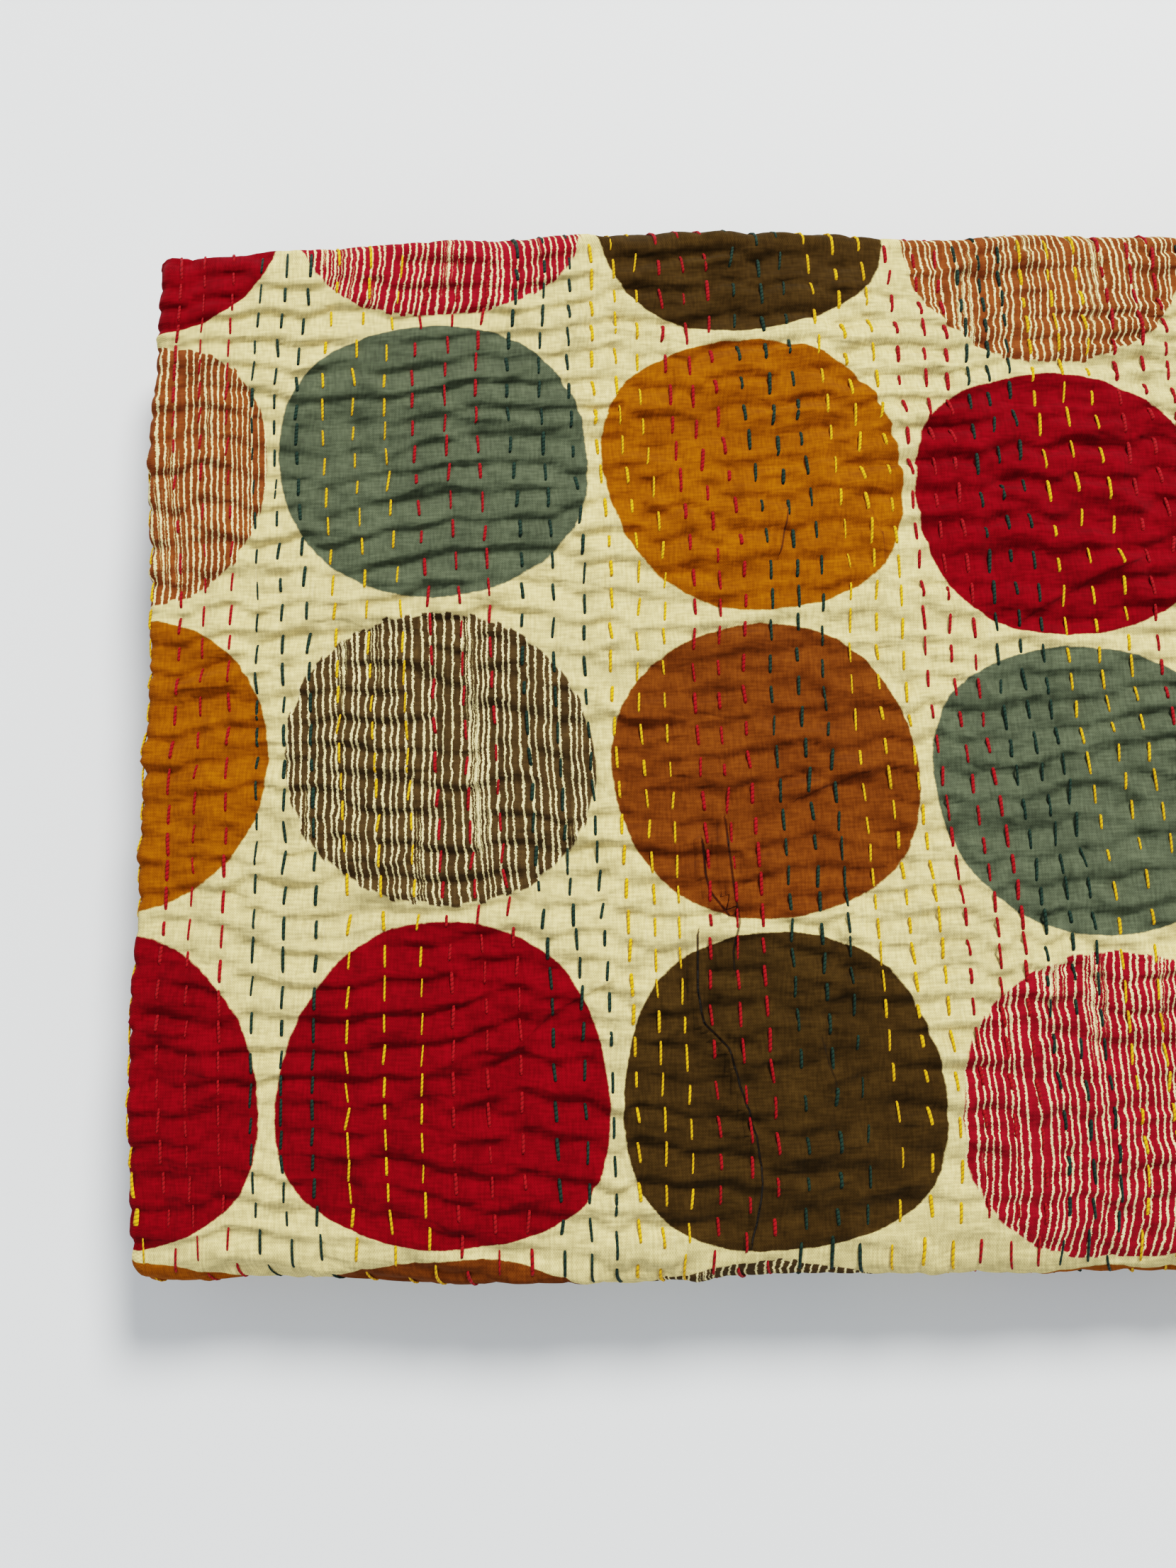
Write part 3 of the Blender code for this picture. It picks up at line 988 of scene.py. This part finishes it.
R, U, D, G, M = (Dot(dye) for dye in (Dye.RED, Dye.RUST, Dye.DARK_BROWN, Dye.GREEN, Dye.MUSTARD))
RS, US, DS = (Dot(dye, False) for dye in (Dye.PALE_RED, Dye.PALE_RUST, Dye.PALE_BROWN))

# The repeat from back to front, each row from the folded edge to the right
REPEAT = (
    (M, U, DS, M, G),
    (R, RS, D, US, R),
    (US, G, M, R, DS),
    (M, DS, U, G, M),
    (R, R, D, RS, U),
)


SURFACE = {"roughness": "Roughness", "sheen": "Sheen Weight", "specular": "Specular IOR Level"}


class Graph:
    """A material's nodes, wired in plain steps."""

    def __init__(self, name: str) -> None:
        """Makes an empty material with its shader."""
        self.material = bpy.data.materials.new(name)
        self.material.use_nodes = True
        self.tree = self.material.node_tree
        self.shader = self.tree.nodes["Principled BSDF"]

    def put(self, socket: Socket, value: object) -> None:
        """Links a socket, or sets its value."""
        if isinstance(value, Socket):
            self.tree.links.new(value, socket)
        else:
            socket.default_value = value

    def node(self, kind: str, inputs: dict[object, object] | None = None,
             **settings: object) -> bpy.types.Node:
        """Adds a node with its settings and inputs."""
        made = self.tree.nodes.new("ShaderNode" + kind)
        for key, value in settings.items():
            setattr(made, key, value)
        for key, value in (inputs or {}).items():
            self.put(made.inputs[key], value)
        return made

    def math(self, operation: str, *values: object) -> Socket:
        """Adds a sum or other operation on numbers."""
        return self.node("Math", dict(enumerate(values)), operation=operation).outputs[0]

    def vector(self, operation: str, *values: object) -> Socket:
        """Adds an operation on vectors."""
        made = self.node("VectorMath", dict(enumerate(values)), operation=operation)
        return made.outputs["Value" if operation in ("LENGTH", "DOT_PRODUCT") else "Vector"]

    def noise(self, place: Socket, stretch: Triple, detail: float = 2.0,
              rough: float = 0.5) -> Socket:
        """Adds a noise, with its scale along each axis."""
        scaled = self.vector("MULTIPLY", place, stretch)
        inputs = {"Vector": scaled, "Scale": 1.0, "Detail": detail, "Roughness": rough}
        return self.node("TexNoise", inputs).outputs[0]

    def rise(self, value: object, low: float, high: float, to_low: float = 0.0,
             to_high: float = 1.0) -> Socket:
        """Adds a soft rise of a value between two limits."""
        inputs = {"Value": value, "From Min": low, "From Max": high, "To Min": to_low, "To Max": to_high}
        return self.node("MapRange", inputs, interpolation_type="SMOOTHSTEP").outputs[0]

    def mix(self, share: object, first: object, second: object, blend: str = "MIX") -> Socket:
        """Adds a mix of two colours."""
        made = self.node("Mix", data_type="RGBA", blend_type=blend)
        for index, value in ((0, share), (6, first), (7, second)):
            self.put(made.inputs[index], value)
        return made.outputs[2]

    def darken(self, colour: object, tint: object) -> Socket:
        """Adds a product of two colours."""
        return self.mix(1.0, colour, tint, "MULTIPLY")

    def grey(self, value: Socket) -> Socket:
        """Adds a grey with a value."""
        return self.node("CombineColor", {0: value, 1: value, 2: value}).outputs[0]

    def split(self, place: Socket) -> tuple[Socket, Socket]:
        """Adds a split of a place into its first two coordinates."""
        parts = self.node("SeparateXYZ", {0: place}).outputs
        return parts[0], parts[1]

    def relief(self, *steps: tuple[float, float, Socket]) -> None:
        """Wires bumps on top of each other, each with its strength, its distance and its height."""
        under: dict[object, object] = {}
        for strength, distance, height in steps:
            bump = self.node("Bump", {"Strength": strength, "Distance": distance, "Height": height, **under})
            under = {"Normal": bump.outputs[0]}
        self.put(self.shader.inputs["Normal"], bump.outputs[0])

    def surface(self, **values: float) -> None:
        """Sets how the shader's surface takes the light, by its sockets' names in small letters."""
        for name, value in values.items():
            self.shader.inputs[SURFACE[name]].default_value = value


@dataclass(frozen=True)
class PrintedCotton:
    """The cream cotton with its printed dots, its weave and its small unevenness, with painted shade along
    the tucks' edges and painted shade and highlight in the weave.
    """

    cream: Triple = (0.560, 0.445, 0.200)
    between_streaks: Triple = (0.655, 0.550, 0.285)
    slub: Triple = (0.50, 0.44, 0.29)
    worn: Triple = (0.78, 0.78, 0.80)
    # Painted shade: the tint that darkens the cloth in a thin line along each tuck's edge, where the fold
    # shades it
    painted_tuck_shade: Triple = (0.20, 0.15, 0.11)
    greyed: Triple = (0.90, 0.91, 0.93)
    ragged: float = 0.006
    bands: float = 43.0
    uneven: float = 0.85
    yarn: float = 0.00042
    roughness: float = 0.95
    sheen: float = 0.02
    specular: float = 0.05
    weave_height: float = 0.0002
    tuck_height: float = 0.0011
    crumple_height: float = 0.0007

    def material(self) -> bpy.types.Material:
        """Builds the finish.

        Returns:
            The material.
        """
        g = Graph("printed_cotton")
        flat = g.node("UVMap", uv_map="flat").outputs[0]
        chart = g.node("UVMap", uv_map="print").outputs[0]
        ink, dye, between = self.dots(g, chart)
        cloth = self.ground(g, flat)
        worn = g.noise(flat, (60, 60, 1), 4, 0.6)
        dyed = g.mix(g.rise(worn, 0.3, 0.7), dye, g.darken(dye, (*self.worn, 1)))
        cloth = g.mix(between, cloth, g.mix(0.05, (*self.between_streaks, 1), dye))
        colour = g.mix(ink, cloth, dyed)
        line, sharp = g.split(g.node("UVMap", uv_map="tucks").outputs[0])
        # Painted shade: a thin dark line along each tuck's edge, where the fold shades the cloth, as strong
        # as the tuck is sharp
        painted_tuck_shade = g.rise(g.math("ABSOLUTE", g.math("SUBTRACT", line, 0.0002)), 0.0007, 0.0002)
        painted_tuck_shade = g.math("MULTIPLY", painted_tuck_shade, sharp)
        colour = g.mix(painted_tuck_shade, colour, g.darken(colour, (*self.painted_tuck_shade, 1)))
        weave = self.weave(g, flat)
        # Partly the yarns' own uneven tone, partly painted shade and highlight: the colour follows the
        # weave's height, darker in its hollows and lighter on its yarns' crests
        weave_tone_and_shade = g.grey(g.rise(weave, 0.34, 0.68, 0.77, 1.25))
        g.put(g.shader.inputs["Base Color"], g.darken(colour, weave_tone_and_shade))
        g.surface(roughness=self.roughness, sheen=self.sheen, specular=self.specular)
        step = g.math("MULTIPLY", g.rise(line, 0.0006, -0.0002), sharp)
        g.relief(
            (0.45, self.weave_height, weave),
            (1.0, self.tuck_height, step),
            (0.85, self.crumple_height, self.crumples(g, flat)),
        )
        return g.material

    def crumples(self, g: Graph, flat: Socket) -> Socket:
        """Wires the small creases that run over the puckers, mostly from side to side."""
        stretched = g.vector("MULTIPLY", flat, (55, 70, 1))
        bent = g.node("TexNoise", {"Vector": stretched, "Scale": 1.0, "Detail": 1.0}).outputs["Color"]
        shift = g.vector("MULTIPLY", g.vector("SUBTRACT", bent, (0.5, 0.5, 0.5)), (0.006, 0.007, 0))
        place = g.vector("ADD", flat, shift)
        folds = g.math("ABSOLUTE", g.math("SUBTRACT", g.noise(place, (40, 100, 1), 2, 0.45), 0.5))
        slanted = g.math("ABSOLUTE", g.math("SUBTRACT", g.noise(place, (95, 75, 1), 2, 0.5), 0.5))
        fine = g.noise(place, (330, 520, 1), 2, 0.5)
        both = g.math("ADD", g.rise(folds, 0.0, 0.22), g.math("MULTIPLY", g.rise(slanted, 0.0, 0.20), 0.35))
        return g.math("MULTIPLY_ADD", fine, 0.22, both)

    def dots(self, g: Graph, chart: Socket) -> tuple[Socket, Socket, Socket]:
        """Wires the dots: where there is ink, its dye, and where the cloth shows between streaks."""
        rough = g.node("TexNoise", {"Vector": chart, "Scale": 14.0, "Detail": 5.0, "Roughness": 0.7})
        shaken = g.vector("SUBTRACT", rough.outputs["Color"], (0.5, 0.5, 0.5))
        place = g.vector("ADD", chart, g.vector("MULTIPLY", shaken, (self.ragged * 4,) * 3))
        place = g.vector("MULTIPLY", place, (1, 1, 0))
        cell = g.vector("FLOOR", place)
        local = g.vector("SUBTRACT", g.vector("SUBTRACT", place, cell), (0.5, 0.5, 0))
        radius = g.vector("LENGTH", local)
        column, row = g.split(cell)
        column = g.math("FLOORED_MODULO", column, float(len(REPEAT[0])))
        row = g.math("FLOORED_MODULO", row, float(len(REPEAT)))
        number = g.math("MULTIPLY_ADD", row, float(len(REPEAT[0])), column)
        count = len(REPEAT) * len(REPEAT[0])
        ramp = g.node("ValToRGB", {0: g.math("DIVIDE", g.math("ADD", number, 0.5), float(count))})
        ramp.color_ramp.interpolation = "CONSTANT"
        for index, dot in enumerate(dot for line in REPEAT for dot in line):
            stops = ramp.color_ramp.elements
            stop = stops[index] if index < 1 else stops.new(index / count)
            stop.color = (*dot.dye.value, 1.0 if dot.solid else 0.0)
        dye, solid = ramp.outputs["Color"], ramp.outputs["Alpha"]
        streaks, end = self.streaks(g, place, number)
        reach = g.math("ADD", DOT_RADIUS, g.math("MULTIPLY", g.math("SUBTRACT", 1.0, solid), end))
        inside = g.rise(g.math("SUBTRACT", reach, radius), -0.0035, 0.0035)
        ink = g.math("MULTIPLY", inside, g.math("MAXIMUM", solid, streaks))
        between = g.math("MULTIPLY", inside, g.math("SUBTRACT", 1.0, solid))
        return ink, dye, between

    def streaks(self, g: Graph, place: Socket, number: Socket) -> tuple[Socket, Socket]:
        """Wires the wood-like bands of the streaked dots, and how unevenly the bands end."""
        across = g.split(place)[0]
        grain = g.noise(place, (3.2, 1.5, 1), 1, 0.5)
        fine = g.noise(place, (150, 210, 1), 1, 0.5)
        across = g.math("ADD", across, g.math("MULTIPLY", g.math("SUBTRACT", grain, 0.5), 0.045))
        across = g.math("ADD", across, g.math("MULTIPLY", g.math("SUBTRACT", fine, 0.5), 0.008))
        across = g.math("MULTIPLY_ADD", number, 3.71, across)
        edge = self.strips(g, across, self.bands, "DISTANCE_TO_EDGE", "Distance")
        band = self.strips(g, across, self.bands, "F1", "Color")
        broken = g.noise(place, (70, 30, 1), 2, 0.6)
        width = g.rise(g.noise(place, (20, 1.6, 1)), 0.35, 0.7, 0.10, 0.16)
        inked = g.rise(g.math("SUBTRACT", edge, width), -0.03, 0.03)
        thin = self.strips(g, across, self.bands * 2.3, "DISTANCE_TO_EDGE", "Distance")
        sparse = g.rise(g.noise(place, (11, 0.9, 1)), 0.59, 0.67)
        dotted = g.math("MULTIPLY", sparse, g.rise(thin, 0.20, 0.10))
        dotted = g.math("MULTIPLY", dotted, g.rise(broken, 0.40, 0.52, 0.35, 1.0))
        inked = g.math("MULTIPLY", inked, g.math("SUBTRACT", 1.0, dotted))
        end = g.math("MULTIPLY", g.math("SUBTRACT", band, 0.6), 0.022)
        return inked, end

    def strips(self, g: Graph, across: Socket, scale: float, feature: str, output: str) -> Socket:
        """Wires uneven strips side by side and gives one of their outputs."""
        inputs = {"W": across, "Scale": scale, "Randomness": self.uneven}
        return g.node("TexVoronoi", inputs, voronoi_dimensions="1D", feature=feature).outputs[output]

    def ground(self, g: Graph, flat: Socket) -> Socket:
        """Wires the cream ground with its slow changes and slubs."""
        slow = g.noise(flat, (14, 14, 1), 3, 0.6)
        greyer = (part * share for part, share in zip(self.cream, self.greyed))
        colour = g.mix(g.rise(slow, 0.35, 0.7), (*self.cream, 1), (*greyer, 1))
        slub = g.math("MAXIMUM", g.noise(flat, (40, 1500, 1), 2), g.noise(flat, (1500, 40, 1), 2))
        return g.mix(g.rise(slub, 0.66, 0.80, 0.0, 0.30), colour, (*self.slub, 1))

    def weave(self, g: Graph, flat: Socket) -> Socket:
        """Wires the plain weave, as the yarns' height with their unevenness."""
        turns = math.tau / self.yarn / 2
        wide, long = g.split(g.vector("MULTIPLY", flat, (turns, turns, 0)))
        checks = g.math("MULTIPLY", g.math("SINE", wide), g.math("SINE", long))
        warp = g.noise(flat, (1 / self.yarn / 2, 180, 1), 2)
        weft = g.noise(flat, (180, 1 / self.yarn / 2, 1), 2)
        uneven = g.math("MULTIPLY", g.math("ADD", warp, weft), 0.5)
        return g.math("MULTIPLY_ADD", checks, 0.12, uneven)


@dataclass(frozen=True)
class SewingThread:
    """Matt two-ply cotton thread in one colour, its twist drawn round its own length with bumps and with
    painted shade in the grooves between its plies.
    """

    thread: Thread
    roughness: float = 0.75
    sheen: float = 0.04
    specular: float = 0.12
    # Painted shade: how dark the colour gets in the twist's grooves between the plies
    twist_groove_shade: float = 0.42
    faded: Triple = (0.80, 0.78, 0.78)
    twist_height: float = 0.00025
    fibre_height: float = 0.0001

    def material(self) -> bpy.types.Material:
        """Builds the finish.

        Returns:
            The material.
        """
        g = Graph(f"thread_{self.thread.name.lower()}")
        ply = g.node("UVMap", uv_map="ply").outputs[0]
        turns = g.math("ADD", *g.split(ply))
        twist = g.math("ABSOLUTE", g.math("SINE", g.math("MULTIPLY", turns, math.tau)))
        fibres = g.noise(ply, (14, 9, 1), 3, 0.6)
        slow = g.noise(g.node("TexCoord").outputs["Object"], (160, 160, 160), 2, 0.5)
        colour = (*self.thread.value, 1)
        lighter = (*(min(1.0, 1.25 * part + 0.003) for part in self.thread.value), 1)
        colour = g.mix(g.rise(fibres, 0.40, 0.68, 0.0, 0.6), colour, lighter)
        colour = g.mix(g.rise(slow, 0.35, 0.65), colour, g.darken(colour, (*self.faded, 1)))
        # Painted shade in the twist's grooves, darker where the plies dip
        shade = g.grey(g.rise(twist, 0.0, 0.65, self.twist_groove_shade, 1.0))
        g.put(g.shader.inputs["Base Color"], g.darken(colour, shade))
        g.surface(roughness=self.roughness, sheen=self.sheen, specular=self.specular)
        g.relief((0.9, self.twist_height, twist), (0.4, self.fibre_height, fibres))
        return g.material


@dataclass
class RunningStitches:
    """The stitches that show, as short twisted threads that dive into the cloth at both ends."""

    pile: FoldedPile
    rows: StitchRows
    relief: Relief
    sections: int = 8
    sides: int = 6
    half_width: float = 0.00052
    half_height: float = 0.00042
    twist_length: float = 0.0030
    sunk: float = 0.00045
    proud: float = 0.00018
    tautness: float = 0.5
    follow_power: int = 8
    dive_power: int = 11
    slim_power: int = 6
    slimmer: float = 0.35
    shown_least: float = 0.45
    lean_spread: float = 0.060
    row_spread: float = 0.10
    stout_spread: float = 0.12
    stout_limits: tuple[float, float] = (0.62, 1.30)
    seed: int = 77

    def shown_stitches(self) -> dict[Thread, Array]:
        """Picks the stitches on faces that show.

        Returns:
            For each colour, a row for each stitch: across, along, length, lean, twist, stoutness and side.
        """
        chance = np.random.default_rng(self.seed)
        found: dict[Thread, list[Array]] = {thread: [] for thread in Thread}
        for row in range(len(self.rows.columns)):
            across, along, length = self.rows.across[row], self.rows.along[row], self.rows.lengths[row]
            within = (across > 0) & (across < self.pile.across.length)
            across, along, length = across[within], along[within], length[within]
            lean = chance.normal(0, self.lean_spread, len(along))
            twist = chance.uniform(0, math.tau, len(along))
            stout = chance.normal(chance.normal(1.0, self.row_spread), self.stout_spread, len(along))
            stout = np.clip(stout, *self.stout_limits)
            for side in (1.0, -1.0):
                share = self.relief.shown(across, along, np.full_like(along, side))
                keep = share > self.shown_least
                columns = [part[keep] for part in (across, along, length, lean, twist, stout)]
                found[self.rows.colour(row)].append(np.stack([*columns, np.full(keep.sum(), side)], axis=-1))
        return {thread: np.concatenate(parts) for thread, parts in found.items()}

    def build(self) -> list[bpy.types.Object]:
        """Sews every colour as one joined piece.

        Returns:
            The pieces.
        """
        pieces = []
        for thread, stitches in self.shown_stitches().items():
            places, faces, plies = self.sew(stitches)
            mesh = bpy.data.meshes.new(f"stitches_{thread.name.lower()}")
            mesh.from_pydata(places.tolist(), [], faces)
            mesh.uv_layers.new(name="ply").data.foreach_set("uv", plies.astype(np.float32).ravel())
            mesh.shade_smooth()
            piece = bpy.data.objects.new(mesh.name, mesh)
            bpy.context.scene.collection.objects.link(piece)
            mesh.materials.append(SewingThread(thread).material())
            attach(piece, "root")
            LOG.info("%s: %d stitches, %d faces", piece.name, len(stitches), len(faces))
            pieces.append(piece)
        return pieces

    def sew(self, stitches: Array) -> tuple[Array, list[tuple[int, ...]], Array]:
        """Makes the threads of some stitches.

        Args:
            stitches: a row for each stitch.

        Returns:
            The threads' points, their faces, and each face corner's place along and round the twist.
        """
        across, along, length, lean, twist, stout, side = (column[:, None] for column in stitches.T)
        part = np.sin(np.linspace(-1, 1, self.sections) * math.pi / 2)[None, :]
        line_along = along + part * length / 2 * np.cos(lean)
        line_across = across + part * length / 2 * np.sin(lean)
        share = self.relief.shown(line_across, line_along, np.broadcast_to(side, line_across.shape))
        level = self.relief.height(line_across.ravel(), line_along.ravel()).reshape(line_across.shape) * share
        slope = (level * part).sum(axis=1, keepdims=True) / (part ** 2).sum()
        taut = level.mean(axis=1, keepdims=True) + slope * part
        taut = taut + self.tautness * (level - taut).max(axis=1, keepdims=True)
        follow = part ** self.follow_power
        level = taut * (1 - follow) + level * follow
        lift = self.proud - (self.sunk + self.proud) * np.abs(part) ** self.dive_power
        height = self.pile.thickness / 2 + level + lift
        slim = stout * (1 - self.slimmer * np.abs(part) ** self.slim_power)
        rings = []
        for corner in range(self.sides):
            angle = math.tau * (corner + 0.5) / self.sides
            off_across = self.half_width * slim * math.cos(angle)
            off_height = self.half_height * slim * math.sin(angle)
            ring = [line_across + off_across, line_along, side * (height + off_height)]
            rings.append(np.stack(ring, axis=-1))
        flat = np.stack(rings, axis=2).reshape(-1, 3)
        places = self.pile.point(flat[:, 0], flat[:, 1], flat[:, 2])
        turns = (twist / math.tau + part * length / 2 / self.twist_length) + np.zeros_like(line_along)
        return places, *self.faces(turns, side[:, 0])

    def faces(self, turns: Array, side: Array) -> tuple[list[tuple[int, ...]], Array]:
        """Lists the threads' faces, turned to point outwards, and their corners' places in the twist."""
        faces, plies = [], []
        last = (self.sections - 1) * self.sides
        for number in range(len(side)):
            base = number * self.sections * self.sides
            ahead = 1 if side[number] < 0 else -1
            for section in range(self.sections - 1):
                low, high = base + section * self.sides, base + (section + 1) * self.sides
                near, far = turns[number, section], turns[number, section + 1]
                for corner in range(self.sides):
                    after = (corner + 1) % self.sides
                    faces.append((low + corner, low + after, high + after, high + corner)[::ahead])
                    begin, end = corner / self.sides / 2, (corner + 1) / self.sides / 2
                    plies.extend([(near, begin), (near, end), (far, end), (far, begin)][::ahead])
            for ring, turn in ((base, -ahead), (base + last, ahead)):
                faces.append(tuple(ring + corner for corner in range(self.sides))[::turn])
                plies.extend([(0.0, 0.0)] * self.sides)
        return faces, np.array(plies)


@dataclass(frozen=True)
class Lamp:
    """One soft round light that faces the quilt: its place, size, power and colour."""

    name: str
    place: Triple
    size: float
    power: float
    colour: Triple

    def hang(self) -> None:
        """Hangs the light."""
        lamp = bpy.data.lights.new(self.name, "AREA")
        lamp.shape = "DISK"
        lamp.size = self.size
        lamp.energy = self.power
        lamp.color = self.colour
        holder = bpy.data.objects.new(self.name, lamp)
        holder.location = self.place
        holder.rotation_euler = (-Vector(self.place)).to_track_quat("-Z", "Y").to_euler()
        bpy.context.scene.collection.objects.link(holder)


LAMPS = (
    Lamp("window", (0.95, 2.17, 2.50), 1.0, 122.0, (1.0, 0.99, 0.965)),
    Lamp("fill", (-1.4, -1.6, 2.4), 2.4, 17.0, (0.86, 0.92, 1.0)),
)


@dataclass(frozen=True)
class Studio:
    """The pale table top, the soft light and the camera over the quilt."""

    floor_colour: Triple = (0.665, 0.675, 0.675)
    floor_roughness: float = 0.7
    floor_half: float = 3.0
    room_colour: Triple = (0.93, 0.965, 1.0)
    room_glow: float = 0.40
    focal_pixels: float = 1700.0
    frame_pixels: float = 2212.0
    sensor: float = 36.0
    place: Triple = (-0.0962, -0.0868, 0.4689)
    tilt: float = math.radians(8.84)
    roll: float = math.radians(-0.835)
    exposure: float = 0.5

    def floor(self) -> None:
        """Lays the pale floor."""
        bpy.ops.object.select_all(action="DESELECT")
        bpy.ops.mesh.primitive_plane_add(size=2 * self.floor_half, location=(0, 0, 0))
        floor = bpy.context.object
        floor.name = "floor"
        g = Graph("pale_table")
        g.shader.inputs["Base Color"].default_value = (*self.floor_colour, 1)
        g.surface(roughness=self.floor_roughness)
        floor.data.materials.append(g.material)

    def lights(self) -> None:
        """Hangs the lights and sets the room's soft glow."""
        for lamp in LAMPS:
            lamp.hang()
        world = bpy.data.worlds.new("room")
        world.use_nodes = True
        background = world.node_tree.nodes["Background"]
        background.inputs["Color"].default_value = (*self.room_colour, 1)
        background.inputs["Strength"].default_value = self.room_glow
        bpy.context.scene.world = world

    def develop(self) -> None:
        """Sets how light turns into tones: soft in the whites and firm in the darks, as in the photo."""
        view = bpy.context.scene.view_settings
        view.view_transform = "Filmic"
        view.look = "High Contrast"
        view.exposure = self.exposure

    def camera(self) -> None:
        """Sets the camera nearly straight above, as in the photo."""
        lens = bpy.data.cameras.new("camera")
        lens.sensor_fit = "VERTICAL"
        lens.sensor_height = self.sensor
        lens.lens = self.focal_pixels / self.frame_pixels * self.sensor
        lens.clip_start = 0.01
        holder = bpy.data.objects.new("camera", lens)
        right = Vector((1, 0, 0))
        up = Vector((0, math.cos(self.tilt), math.sin(self.tilt)))
        side = right * math.cos(self.roll) + up * math.sin(self.roll)
        top = up * math.cos(self.roll) - right * math.sin(self.roll)
        turn = Matrix((side, top, side.cross(top))).transposed().to_4x4()
        holder.matrix_world = Matrix.Translation(self.place) @ turn
        bpy.context.scene.collection.objects.link(holder)
        bpy.context.scene.camera = holder


def main() -> None:
    """Builds the quilt in order and reports each piece."""
    logging.basicConfig(level=logging.INFO, format="%(message)s")
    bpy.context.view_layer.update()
    pile = FoldedPile()
    rows = StitchRows(PrintChart(pile))
    relief = Relief(pile, rows)
    cloth = QuiltCloth(pile, rows, relief).build()
    threads = RunningStitches(pile, rows, relief).build()
    studio = Studio()
    studio.floor()
    studio.lights()
    studio.camera()
    studio.develop()


if __name__ == "__main__":
    main()
